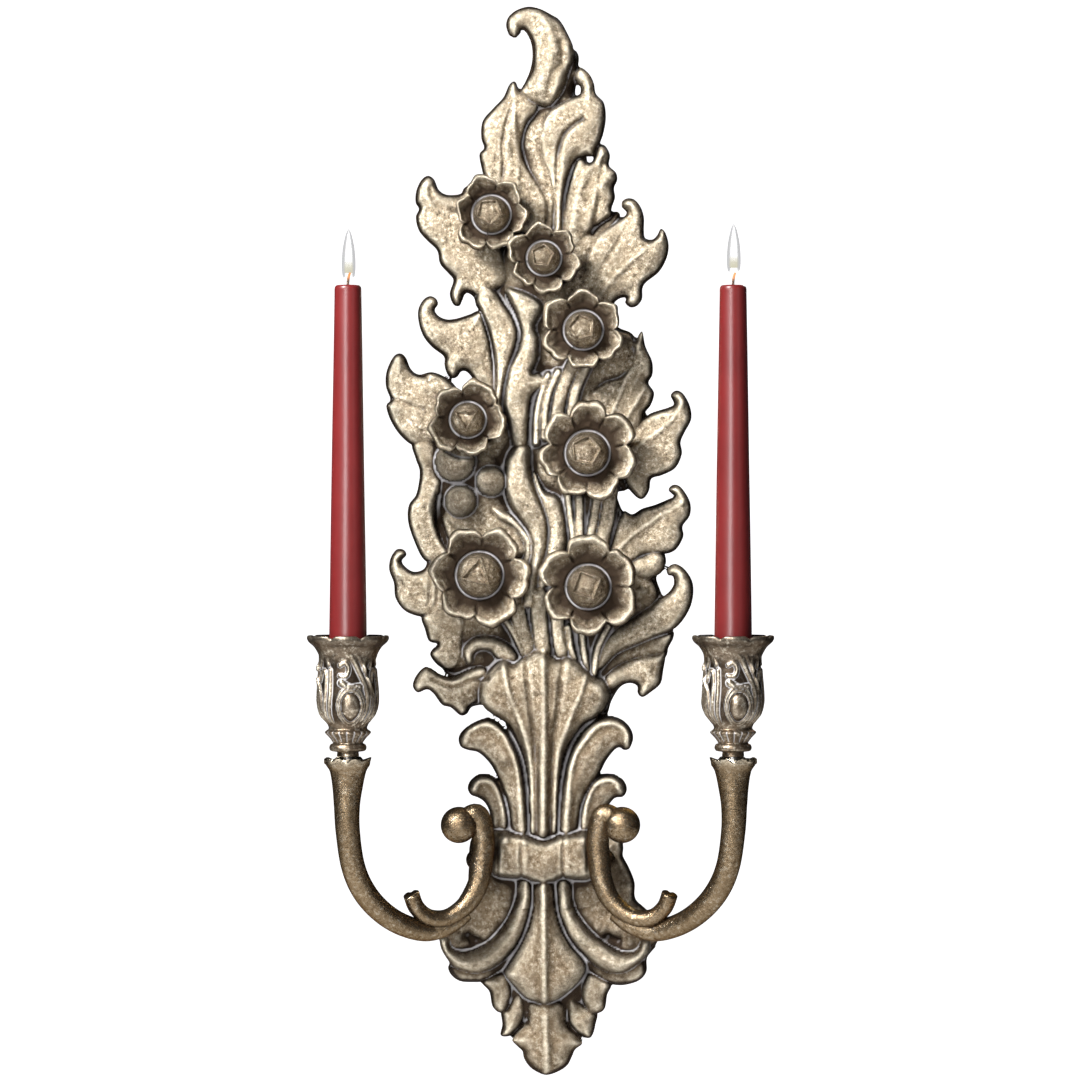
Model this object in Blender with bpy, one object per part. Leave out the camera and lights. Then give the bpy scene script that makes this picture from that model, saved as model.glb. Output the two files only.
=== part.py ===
"""Two-arm wall sconce for taper candles, built as an assembly.

Frame: the origin is the hanging point on the wall, the wall is the plane y = 0,
the front faces -Y, +X is to the right as seen from the front and +Z is up.
Outlines are lists of (x, z) points in millimetres; depths are measured from the wall.
"""
import math

import bmesh
import bpy
import numpy as np
from mathutils import Vector

MM = 0.001
GAP = 0.3

# relief of the backplate, millimetres
GRID_STEP = 5.0
GRID_X = (-99.0, 99.0)
GRID_Z = (-555.5, 104.5)
EDGE_LEVEL = 8.0
BACK_BEVEL = 7.0
SNAP = 0.9
LEAF_SIDE_MARGIN = 5.0

# the pair of arms is mirrored about this plane
ARM_PLANE_X = -1.5
CUP_X = -113.0
CUP_DEPTH = 95.0

# hanger plate
PLATE_HALF_WIDTH = 13.0
PLATE_BOTTOM = -27.0
PLATE_TOP = 7.0
PLATE_THICK = 1.2
PLATE_SCREW_X = 8.5
PLATE_SCREW_Z = -1.0
SLOT_TOP = -6.0
SLOT_RADIUS = 2.3
SLOT_HEAD_Z = -18.0
SLOT_HEAD_RADIUS = 4.6

# screws that hold each arm pad from behind
ARM_SCREW_X = -39.8
ARM_SCREW_Z = (-411.5, -422.5)

# heights of the cup, candle and stud
CUP_FOOT_Z = -350.2
CUP_LIP_Z = -280.2
SOCKET_FLOOR_Z = -307.0
STUD_STEP_Z = -313.0
STUD_END_Z = -366.0
ARM_TOP_Z = -350.6
CANDLE_TOP_Z = -77.4
WICK_TOP_Z = -69.6

GOLD = (0.33, 0.26, 0.17, 1.0)
SILVERED = (0.40, 0.36, 0.31, 1.0)
BRASS = (0.62, 0.47, 0.22, 1.0)
STEEL = (0.55, 0.56, 0.58, 1.0)
WAX = (0.36, 0.03, 0.04, 1.0)
COTTON = (0.12, 0.10, 0.09, 1.0)

# name: (height of the crown, width of the rounded edge, (slope in x, slope in z), outline)
RELIEF = {
    "crest_curl": (21, 5, (0.1, 0), [
        (2, 37), (8, 41), (13, 49), (15, 57), (18, 65), (18.5, 71), (16, 78), (10.5, 88), (5, 92),
        (-2, 95.6), (-9, 97), (-16, 95), (-20.8, 91), (-22.3, 86), (-20.6, 80.6), (-17, 78.4),
        (-14.2, 80.4), (-12.2, 83.3), (-9.2, 80), (-6.9, 74), (-6.4, 66), (-8, 58), (-11, 51),
        (-14, 45), (-8, 39),
    ]),
    "crest_left": (18, 4, (-0.05, -0.02), [
        (-2, 38), (-8, 44), (-14, 47.5), (-17, 52.3), (-20.5, 50), (-24, 42.5), (-30, 36), (-36.5, 28),
        (-37.3, 18), (-35.6, 12), (-38.4, 8), (-37.2, 0), (-35, -8), (-30, -22), (-16, -38), (-2, -42),
        (4, -30), (3, -18), (-3, -8), (-8.5, 0), (-11.8, 8), (-12.2, 16), (-9.5, 26), (-4, 32.6),
    ]),
    "crest_right": (19, 4, (0.06, 0), [
        (22, 60.5), (27.5, 57), (30.7, 51), (32, 44.5), (36.8, 39), (38, 30), (36.6, 21),
        (34.6, 15.4), (31.5, 10.5), (30.2, 7.2), (28, 6.9), (25, 6.5), (20, 4), (15.5, -6),
        (12.5, -22), (12, -40), (5, -40), (5.5, -20), (2.5, -6),
        (-1.5, 4), (-3, 15), (-2, 26), (3, 34), (9, 38.5), (16, 42), (19.6, 43.2), (21.8, 44.2),
        (22.8, 46.4), (22.4, 48.8), (20.6, 50.8), (18.4, 55),
    ]),
    "crest_side": (15.5, 4, (0.05, 0.02), [
        (33, 14.6), (37.5, 13.6), (40.5, 8), (40, 1.6), (44, -2.6), (45, -7), (43, -12), (43.6, -18),
        (41.6, -24), (41.5, -29), (34, -35), (28, -42), (22, -54), (14, -50), (10, -38), (11, -20),
        (15, -6), (20, 6), (26, 5.8), (26.8, 4.2), (28.4, 3.4), (30, 4.4), (30.6, 6.6), (31.6, 11),
    ]),
    "crest_spur": (13, 3, (0, 0), [
        (14, 62), (18.5, 70.4), (21, 69.8), (21.8, 66.5), (21.6, 62), (24, 58.5), (22.6, 53),
        (20.4, 50.4), (19.6, 47), (20, 44), (23, 42.4), (24, 38), (12, 34), (2, 34), (8, 46),
    ]),
    "leaf_upper_left": (17, 4, (-0.06, 0), [
        (-36, -14), (-42, -9.4), (-47.6, -12), (-50, -15.6), (-58, -16.2), (-63, -13.2), (-65.8, -7),
        (-69.5, -4.8), (-73.5, -7.4), (-76.6, -14), (-77, -21), (-75, -25), (-76.9, -30), (-75, -38),
        (-70, -44), (-64, -50), (-62.2, -58), (-57, -64), (-54.2, -68), (-56.4, -76), (-54.2, -82.5),
        (-50.6, -83.4), (-48.8, -80), (-46.5, -75.6), (-42, -78), (-39, -85), (-30, -78), (-20, -68),
        (-24, -50),
    ]),
    "leaf_upper_right": (17, 4, (0.04, 0.06), [
        (20, -82), (21.5, -70), (23.5, -60), (27, -50), (31, -42), (37, -36.6), (44, -32.6),
        (49.6, -29), (50.4, -26.6), (47.8, -24), (47.8, -20.6), (50.8, -18.6), (55, -19.2),
        (58.8, -23.4), (61, -30), (61, -38), (61.8, -42.4), (66, -43.4), (69, -40.8), (71.2, -37),
        (74, -39.4), (76, -47), (74.6, -55), (70, -63), (62.5, -69), (60.2, -73), (60, -79),
        (57, -83.2), (53, -84.2), (49.8, -81.6), (50, -78.4), (45.4, -79.4), (42, -84), (42, -92),
        (30, -100),
    ]),
    "leaf_left_second": (17, 4, (-0.04, 0.03), [
        (-37, -86), (-44, -88.4), (-52, -91), (-58, -91.6), (-63, -89.6), (-65.4, -86), (-63.4, -82.4),
        (-64.8, -79), (-68.4, -77.6), (-72.4, -80), (-75.4, -86), (-75, -94), (-72.2, -102),
        (-67, -108.4), (-60, -114), (-59.6, -119), (-58.2, -124), (-55, -127.2), (-51.8, -126.2),
        (-49.6, -123.2), (-46.6, -123), (-43, -126.6), (-40.6, -132), (-37, -140), (-30, -150),
        (-26, -140), (-29, -112), (-33, -96),
    ]),
    "blade_left": (21, 4, (0.08, 0), [
        (-37, -70), (-30, -73), (-24, -82), (-18, -91), (-15.2, -100), (-16.4, -109), (-20, -121),
        (-23, -134), (-26, -150), (-30, -146), (-29.6, -120), (-32, -102), (-38, -88), (-41, -80),
    ]),
    "blade_centre": (23, 4, (0, 0), [
        (-22, -74), (-10, -76), (0, -84), (-4.6, -96), (-2.6, -104), (-3, -115), (-6, -123.6),
        (-2, -124.6), (4.4, -127.6), (4.6, -132), (-1, -134.4), (-6.4, -139), (-8, -150), (-9, -166),
        (-12, -176), (-18, -170), (-21, -155), (-24, -142), (-21, -122), (-15.4, -110), (-13.6, -100),
        (-16, -90),
    ]),
    "leaf_fan": (16.5, 4, (0.05, 0.02), [
        (49, -103), (55, -104.6), (58.2, -100.4), (60.2, -99.2), (62, -108), (66, -117), (66.2, -125),
        (63.8, -130), (67.2, -136), (65.4, -143), (61.8, -148.6), (60, -160), (48, -170), (33, -162),
        (26, -150), (27, -136), (36, -129), (46, -125.6), (52.4, -119.6), (54.4, -112), (52, -106),
    ]),
    "leaf_mid_right": (17, 4, (0.04, 0), [
        (50, -162), (58, -152.6), (62, -150), (67, -147.6), (76, -144.8), (79.2, -142.6),
        (77.2, -137.6), (80.4, -134.6), (84.8, -136.6), (88.8, -144), (89.6, -152), (85.6, -160),
        (83.2, -166), (84, -173), (80, -181.4), (72, -185.8), (65.6, -188), (64.2, -195), (60.6, -200),
        (56, -198.6), (49, -190), (42, -176),
    ]),
    "leaf_low_right": (18, 4, (0.03, 0.04), [
        (38, -236), (41, -222), (45.4, -212), (49, -207.4), (54, -209.4), (60, -206), (68, -203.6),
        (76, -200.2), (79.2, -198.4), (75.8, -194.8), (78.8, -191.6), (83.6, -193.4), (88.8, -202),
        (88.8, -210), (84.4, -216.6), (84.8, -223), (80, -231), (72, -234), (60, -236), (50, -242),
    ]),
    "lobe_low_right": (19, 5, (0, 0), [
        (51, -240), (58, -234.4), (68, -231), (74, -235), (73, -243), (66, -248), (59, -249),
        (53, -246),
    ]),
    "knob_low_right": (15, 5, (0, 0), [
        (53, -252), (60, -249.6), (66, -253), (66, -259), (60, -263), (52, -262),
    ]),
    "hook_right": (20, 5, (0.02, 0), [
        (75, -242), (80, -239.4), (86.4, -243.6), (90.6, -252), (89.8, -263), (85, -272.6),
        (78, -279.6), (66, -285), (55, -290), (45, -294.6), (38, -302), (32, -306), (31, -296),
        (37, -285), (46, -276.6), (57, -269.6), (67, -262.6), (75.4, -257), (79, -251.6), (78.4, -247),
        (75.4, -246),
    ]),
    "under_hook": (15, 4, (0, 0), [
        (78, -280), (79, -284), (76, -290), (73.6, -296), (60, -300), (45, -306), (36, -312),
        (32, -306), (40, -294), (52, -287), (66, -282),
    ]),
    "leaf_foot_right": (20, 5, (0, -0.04), [
        (74, -293), (72.6, -304), (71, -311.6), (65.4, -316.6), (60.2, -319.8), (57.2, -317.4),
        (56.8, -313), (52, -311.4), (46.4, -314), (41.4, -322), (38.4, -330.4), (33, -328), (33, -312),
        (41, -302.6), (50, -297), (61, -293.6), (69, -293),
    ]),
    "leaf_left_third": (16, 4, (-0.04, 0), [
        (-46, -142), (-52, -133), (-58, -127), (-67, -123.4), (-75, -124.8), (-80, -121.4),
        (-83, -114.6), (-86.6, -112), (-90.6, -114.4), (-94.6, -123), (-95, -132), (-92.4, -140),
        (-94.8, -144), (-92, -153), (-86, -162), (-78, -168), (-68, -168), (-55, -164), (-46, -152),
    ]),
    "strip_left": (15, 4, (-0.03, 0), [
        (-79, -166), (-77, -176), (-74.6, -184), (-76.6, -197), (-81.2, -204), (-81.6, -214),
        (-77.8, -226), (-72, -237), (-62, -242), (-50, -236), (-60, -226), (-64.6, -215), (-64, -205),
        (-60, -196), (-58, -186), (-60, -172), (-68, -162),
    ]),
    "leaf_low_left": (16, 4, (-0.05, 0), [
        (-68, -236), (-72, -242.4), (-78, -244.2), (-83, -241.4), (-85.4, -237.6), (-82.6, -234),
        (-84.4, -230.8), (-88.6, -230.8), (-92.2, -236), (-93, -243), (-90.2, -251), (-89.2, -260),
        (-84, -267.4), (-76, -271), (-66, -272), (-52, -268), (-48, -255), (-58, -238),
    ]),
    "leaf_low_left_b": (17, 4, (0, 0), [
        (-73.4, -271), (-71.4, -279), (-69, -286), (-64, -288), (-66.8, -291), (-68.2, -294.6),
        (-64, -300.4), (-57.4, -304), (-51, -301.4), (-47.6, -295), (-47, -285), (-46, -272),
        (-55, -264), (-66, -266),
    ]),
    "swirl_left": (21, 4, (0, 0), [
        (-49, -292), (-45, -285.6), (-38, -282.4), (-29, -283), (-21, -287), (-14, -293), (-11, -301),
        (-22, -302), (-28, -297.6), (-32, -293), (-37, -292), (-40.6, -294), (-42, -299), (-46, -300),
    ]),
    "leaf_foot_left": (21, 4.5, (0, 0.06), [
        (-71.6, -301.8), (-76.6, -307), (-78.6, -313), (-75.6, -317), (-70, -315.2), (-66, -317.8),
        (-61, -324.4), (-55.6, -326.2), (-50, -330.8), (-46, -330), (-43.2, -326), (-38, -324.4),
        (-30, -322), (-26, -308), (-36, -301.6), (-44, -303), (-54, -307.4), (-62, -306), (-67, -302.8),
    ]),
    "stem_front": (27, 4.5, (0, 0), [
        (-14, -167), (-8.6, -170), (-8, -182), (-4.6, -194), (1.4, -206), (3.6, -218), (2.6, -232),
        (-2, -246), (-4, -264), (-13, -264), (-10, -245), (-7, -232), (-8.6, -221), (-14.6, -212),
        (-20.6, -202), (-23, -190), (-22, -178), (-19, -171),
    ]),
    "stem_second": (24, 4, (0, 0), [
        (-6, -184), (1, -195), (9, -199), (13.4, -210), (14.4, -220), (13, -234), (6, -246), (0, -256),
        (-5, -250), (0, -235), (2, -218), (-2, -204),
    ]),
    "leaf_under_berries": (16, 5, (0, 0), [
        (-60, -165), (-30, -172), (-20, -185), (-20, -200), (-10, -215), (-4, -235), (-20, -240),
        (-50, -225), (-62, -205),
    ]),
    "curve_low_left": (21, 4, (0, 0), [
        (-32, -204), (-20, -208), (-11, -216), (-5.6, -226), (-6, -238), (-11, -246), (-17, -243),
        (-12.6, -235), (-12.6, -227), (-18, -219), (-28, -213),
    ]),
    "vase": (31, 6, (0, 0.035), [
        (-31, -304), (-24, -298), (-17.6, -300), (-11, -296), (-4, -291.6), (2, -293.6), (8, -297),
        (14, -296), (20, -299), (25.6, -304), (31, -308.4), (36.4, -311), (39.4, -318), (36.4, -326),
        (31, -331.6), (24, -335.6), (18, -343), (13, -355), (10.4, -370), (9.4, -385), (9, -404),
        (-8, -404), (-8, -388), (-8.4, -372), (-10.6, -358), (-15.6, -345), (-21.6, -336), (-29, -331),
        (-35.6, -325.6), (-38, -318), (-36.6, -310),
    ]),
    "scroll_upper_left": (27, 4.5, (0, 0), [
        (-8.4, -404), (-9.4, -382), (-12, -365), (-16, -352), (-21, -342), (-27, -335), (-33, -332.2),
        (-40, -334.2), (-47.4, -338.8), (-50.8, -344), (-49.6, -349.4), (-45, -351.6), (-39, -353),
        (-33, -358.4), (-29, -364.6), (-24, -376), (-20.6, -390), (-20, -404),
    ]),
    "scroll_upper_right": (27, 4.5, (0, 0), [
        (8.4, -404), (9.6, -382), (12, -366), (16, -353), (21.4, -343), (28.4, -335), (37, -331.2),
        (45.4, -332.2), (51.6, -336.8), (54.4, -343.6), (52.4, -350.2), (49, -351.6), (46, -350),
        (42.6, -352), (38, -358), (34.4, -365), (28, -374), (23, -386), (21, -404),
    ]),
    "scroll_lower_left": (23, 4.5, (0, 0), [
        (-19, -404), (-20, -390), (-23, -379), (-27, -371), (-32, -366.6), (-38.4, -366.2),
        (-43.6, -369.8), (-45.4, -374.6), (-43.4, -378.6), (-39, -380.4), (-35, -383.4), (-32, -390),
        (-30, -404),
    ]),
    "scroll_lower_right": (23, 4.5, (0, 0), [
        (20, -404), (21.4, -388), (25, -377), (29, -370), (35, -366.2), (42.4, -366.2), (48.6, -370),
        (50.6, -375.2), (48.4, -379.6), (43.4, -380.6), (39.4, -385), (34, -392), (30, -404),
    ]),
    "ribbon": (37, 4, (0, 0), [
        (-28, -401), (-13, -402), (-6, -404), (0, -406), (6, -404), (12, -402), (28, -401.4),
        (28.6, -414), (28, -426.6), (12, -427), (6, -429), (0, -430), (-6, -429), (-12, -427),
        (-28, -425), (-28.6, -413),
    ]),
    "tongue": (30, 7, (0, 0.02), [
        (-4.4, -428), (-5.4, -445), (-8.4, -458), (-13.4, -470), (-20.4, -482), (-21.8, -486.4),
        (-17, -492.4), (-10, -499.6), (-4, -502.6), (1, -504), (7, -501.6), (13, -497.6), (20, -491),
        (24.4, -484), (23, -478), (16, -469.6), (10.4, -459), (7, -446), (5.6, -428),
    ]),
    "roll_left": (27, 5.5, (0, 0), [
        (-6.6, -428), (-6, -440), (-8.4, -452), (-12.4, -463), (-18.6, -472.4), (-27, -480.4),
        (-37, -485), (-46.4, -484.6), (-54.6, -480.6), (-60.6, -473), (-62, -466), (-57.6, -464.6),
        (-55.6, -470.6), (-50, -473.4), (-42, -472.6), (-33, -467.6), (-26, -460.6), (-20, -451.6),
        (-15.6, -440), (-14.6, -428),
    ]),
    "roll_right": (27, 5.5, (0, 0), [
        (7.4, -428), (8.4, -445), (12.4, -458), (19.4, -469), (28.4, -478.4), (38, -484.4),
        (47.4, -485.4), (55.6, -481), (62, -474.4), (64, -467), (60, -466), (57, -472), (50.6, -474),
        (42.4, -471.6), (33, -465), (24.4, -456), (18, -445), (15.6, -428),
    ]),
    "panel_left": (17, 4, (0, 0), [
        (-16, -420), (-14, -440), (-20, -456), (-30, -468), (-44, -474), (-58, -474), (-63, -464),
        (-62, -455), (-52, -447), (-46, -438), (-46, -425), (-44.6, -405), (-30, -402),
    ]),
    "panel_right": (17, 4, (0, 0), [
        (16, -420), (14, -440), (20, -456), (30, -468), (44, -476), (60, -476), (68, -470), (70, -462),
        (64, -450), (56, -442), (55.4, -432), (52, -423), (48.4, -416), (48.6, -410.4), (46, -404),
        (30, -400),
    ]),
    "rim_left": (17, 4.5, (0, 0), [
        (-57, -474), (-56.4, -480), (-57.4, -484), (-55, -488.6), (-50, -491.8), (-43, -492.4),
        (-36, -492), (-29, -489), (-20, -482), (-14, -470), (-30, -474),
    ]),
    "rim_right": (17, 4.5, (0, 0), [
        (68, -470), (63, -477.6), (62.6, -486), (58, -491.4), (50, -494), (43, -494), (36, -492),
        (28, -487), (20, -478), (16, -468), (34, -474), (50, -478),
    ]),
    "scale_left_a": (18, 5, (0, 0), [
        (-37, -491), (-32.4, -498), (-30.6, -506.6), (-26.4, -510.6), (-22, -508.6), (-18.6, -500),
        (-18, -490), (-24, -484),
    ]),
    "scale_left_b": (16, 5, (0, 0), [
        (-25.4, -510), (-24.6, -518), (-25.6, -524.6), (-20, -525), (-14, -520.6), (-10, -512),
        (-9.6, -502), (-15, -494), (-19, -500), (-22, -507),
    ]),
    "scale_right_a": (18, 5, (0, 0), [
        (41, -492), (38.8, -500), (37.2, -508.4), (32, -511.4), (27, -510), (22.6, -501.6), (23, -492),
        (28, -485),
    ]),
    "scale_right_b": (16, 5, (0, 0), [
        (32.4, -510), (31.8, -518), (30, -524.4), (27, -526.4), (20, -523.6), (14.6, -517), (13, -508),
        (15, -500), (22, -503),
    ]),
    "bud": (21, 8, (0, 0.02), [
        (-9, -504), (-9, -515), (-15, -522), (-18.6, -526.6), (-15.4, -530.6), (-12.4, -533.6),
        (-11.4, -538), (-8, -543), (-3, -546.4), (2, -547.8), (8, -546.4), (14.4, -542.4), (17.4, -537),
        (19.4, -532.6), (23.8, -528.6), (20, -524), (14, -517), (12, -504), (0, -498),
    ]),
}

# (height, outline) of the plain ground that joins the leaves
GROUND = [
    (12, [
        (2, 42), (-10, 30), (-15, 15), (-12, 0), (-14, -30), (-28, -56), (-30, -75), (-26, -90),
        (-30, -150), (-62, -168), (-66, -200), (-60, -240), (-58, -262), (-62, -290), (-58, -306),
        (-30, -312), (0, -330), (30, -310), (36, -300), (60, -278), (76, -270), (72, -258), (69, -250),
        (66, -240), (45, -200), (52, -192), (50, -160), (38, -135), (48, -130), (57, -121), (58, -108),
        (54, -100), (44, -95), (34, -82), (34, -60), (42, -44), (47, -30), (44, -26), (38, -30),
        (26, -34), (18, -10), (20, 2), (16, 20), (12, 38),
    ]),
    (12, [
        (0, -300), (-34, -314), (-31, -326), (-22, -338), (-24, -370), (-28, -395), (-42, -405),
        (-45, -430), (-58, -455), (-60, -470), (-45, -484), (-30, -488), (-22, -505), (-12, -518),
        (0, -528), (12, -520), (26, -505), (34, -490), (55, -484), (64, -470), (60, -450), (48, -430),
        (45, -405), (30, -395), (26, -372), (23, -346), (33, -332), (37, -314),
    ]),
]

# (x, z, radius, height of the centre)
BERRIES = [(-53, -178, 12, 19), (-31.4, -189.6, 9, 18), (-49.6, -201.6, 9.6, 18)]

# name: (x, z, dome radius, petal radius, seat height, petals, first petal angle)
FLOWERS = {
    "flower_top_left": (-31, -30, 11.8, 21, 23, 6, 20),
    "flower_top_centre": (0.5, -56.5, 10.5, 21.5, 27, 6, 10),
    "flower_upper_right": (24, -99.5, 12, 25, 28, 6, 0),
    "flower_middle_left": (-45, -153, 11, 22.5, 24, 6, 30),
    "flower_middle_right": (26.5, -173, 13.6, 31, 28, 7, 12),
    "flower_lower_left": (-38, -246, 14.4, 31, 27, 6, 25),
    "flower_lower_right": (27, -253, 13.6, 30.5, 28, 6, 0),
}

# (x, depth, z, half width across the band, half thickness) along the left scroll
SCROLL = [
    (-49.9, 48, -394, 6.5, 6.5), (-39.6, 46, -388.3, 6.5, 6.5), (-35.9, 45, -400.3, 6.4, 7.0),
    (-36.1, 45, -413.3, 6.4, 7.5), (-38.2, 46, -428.1, 6.2, 7.5), (-44.5, 47, -440.2, 5.6, 7.0),
    (-55.8, 50, -448.4, 5.0, 6.5), (-67.0, 55, -448.2, 4.8, 6.0), (-74.4, 59, -442.0, 4.8, 5.6),
    (-77.6, 62, -433.6, 4.8, 5.2),
]
SCROLL_BALL = (-49.9, 48, -394, 10.6)

# (x, depth, z, radius) along the left arm, from inside the scroll to the cup
ARM = [
    (-46.0, 44, -446.0, 5.6), (-56.0, 47, -453.0, 6.2), (-69.1, 51, -456.3, 6.4),
    (-83.5, 61, -451.4, 6.6), (-95.7, 72, -441.8, 6.8), (-105.0, 81, -429.1, 7.0),
    (-110.6, 88, -413.9, 7.0), (-113.2, 93, -394, 7.0), (-113.6, 95, -379, 7.4),
    (-113.2, 95, -367, 8.8), (-113.0, 95, -359, 10.4), (-113.0, 95, -354, 12.6),
    (-113.0, 95, -350.6, 13.0),
]
ARM_PAD_X = (-43.4, -36.3)
ARM_PAD_Z = (-427.5, -407.5)
ARM_PAD_DEPTH = (17.3, 42.0)

# (radius, z) of the cup, outside then inside, from the foot hole round to the foot hole
CUP_OUTSIDE = [
    (6.3, -350.2), (6.3, -347.4), (10.6, -346.6), (10.6, -343.0), (8.7, -342.0), (13.0, -336.6),
    (11.2, -333.0), (16.2, -325.6), (17.8, -316.7), (16.9, -302.0), (16.8, -293.0),
    (19.0, -286.6), (22.6, -282.6), (22.9, CUP_LIP_Z),
]
CUP_INSIDE = [
    (21.0, CUP_LIP_Z), (17.4, -287.0), (15.7, -295.0), (12.4, -298.0), (12.4, SOCKET_FLOOR_Z),
    (5.0, SOCKET_FLOOR_Z), (5.0, STUD_STEP_Z), (2.8, STUD_STEP_Z), (2.8, CUP_FOOT_Z),
]
CUP_LOBES = 8
CUP_LOBE_DEPTH = 0.045


def clear_scene():
    for obj in list(bpy.data.objects):
        bpy.data.objects.remove(obj, do_unlink=True)


def material(name, colour, roughness, metallic):
    mat = bpy.data.materials.get(name) or bpy.data.materials.new(name)
    mat.use_nodes = True
    shader = mat.node_tree.nodes["Principled BSDF"]
    shader.inputs["Base Color"].default_value = colour
    shader.inputs["Roughness"].default_value = roughness
    shader.inputs["Metallic"].default_value = metallic
    return mat


def object_from(name, bm, mat, origin=(0, 0, 0)):
    """Turn a bmesh in millimetres into an object in metres with its own origin."""
    bmesh.ops.recalc_face_normals(bm, faces=bm.faces)
    shift = Vector(origin)
    for vert in bm.verts:
        vert.co = vert.co * MM - shift * MM
    mesh = bpy.data.meshes.new(name)
    bm.to_mesh(mesh)
    bm.free()
    mesh.materials.append(mat)
    obj = bpy.data.objects.new(name, mesh)
    obj.location = shift * MM
    bpy.context.scene.collection.objects.link(obj)
    return obj


def boolean(obj, tools, operation):
    """Join or cut an object with closed tools, then remove the tools."""
    for tool in tools:
        tool.hide_render = True
        tool.display_type = "WIRE"
        mod = obj.modifiers.new("boolean", "BOOLEAN")
        mod.operation = operation
        mod.solver = "EXACT"
        mod.object = tool
    bpy.context.view_layer.update()
    graph = bpy.context.evaluated_depsgraph_get()
    result = bpy.data.meshes.new_from_object(obj.evaluated_get(graph))
    obj.modifiers.clear()
    obj.data = result
    obj.data.materials.clear()
    obj.data.materials.append(tools[0].data.materials[0])
    for tool in tools:
        bpy.data.objects.remove(tool, do_unlink=True)


# ------------------------------------------------------------------ relief

def closed_curve(points, steps=4):
    """Smooth closed curve through the outline points."""
    p = np.array(points, float)
    t = np.linspace(0, 1, steps, endpoint=False)[:, None]
    spans = []
    for i in range(len(p)):
        a, b, c, d = p[i - 1], p[i], p[(i + 1) % len(p)], p[(i + 2) % len(p)]
        cubic = (2 * b + (c - a) * t + (2 * a - 5 * b + 4 * c - d) * t ** 2
                 + (3 * b - a - 3 * c + d) * t ** 3)
        spans.append(cubic * 0.5)
    return np.concatenate(spans)


def distance_inside(outline, x, z):
    """Distance to the outline, positive inside and negative outside."""
    nearest = np.full(x.shape, 1e9)
    inside = np.zeros(x.shape, bool)
    for (ax, az), (bx, bz) in zip(outline, np.roll(outline, -1, 0)):
        ex, ez = bx - ax, bz - az
        length = max(ex * ex + ez * ez, 1e-9)
        t = np.clip(((x - ax) * ex + (z - az) * ez) / length, 0, 1)
        nearest = np.minimum(nearest, (x - ax - t * ex) ** 2 + (z - az - t * ez) ** 2)
        if az != bz:
            crosses = ((az > z) != (bz > z)) & (x < ex * (z - az) / ez + ax)
            inside ^= crosses
    return np.where(inside, 1, -1) * np.sqrt(nearest)


def rounded(distance, width):
    return 1 - (1 - np.clip(distance / width, 0, 1)) ** 2.2


def relief(x, z):
    """Front height above the wall and distance inside the silhouette."""
    height = np.full(x.shape, EDGE_LEVEL)
    inside = np.full(x.shape, -1e3)
    for level, outline in GROUND:
        d = distance_inside(closed_curve(outline), x, z)
        height = np.maximum(height, EDGE_LEVEL + (level - EDGE_LEVEL) * rounded(d, 3.0))
        inside = np.maximum(inside, d)
    for level, edge, slope, outline in RELIEF.values():
        curve = closed_curve(outline)
        centre = curve.mean(0)
        d = distance_inside(curve, x, z)
        top = level + slope[0] * (x - centre[0]) + slope[1] * (z - centre[1])
        height = np.maximum(height, EDGE_LEVEL + (top - EDGE_LEVEL) * rounded(d, edge))
        inside = np.maximum(inside, d)
    for bx, bz, radius, level in BERRIES:
        r = np.hypot(x - bx, z - bz)
        dome = level + np.sqrt(np.maximum(radius ** 2 - r ** 2, 0))
        height = np.where(r < radius, np.maximum(height, dome), height)
        inside = np.maximum(inside, radius - r)
    for fx, fz, _, petal, seat, _, _ in FLOWERS.values():
        r = np.hypot(x - fx, z - fz)
        height = np.where(r < petal + LEAF_SIDE_MARGIN, np.minimum(height, seat), height)
        height = np.where(r < 0.62 * petal, seat, height)
        inside = np.maximum(inside, 0.62 * petal - r)
    return height, inside


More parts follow.
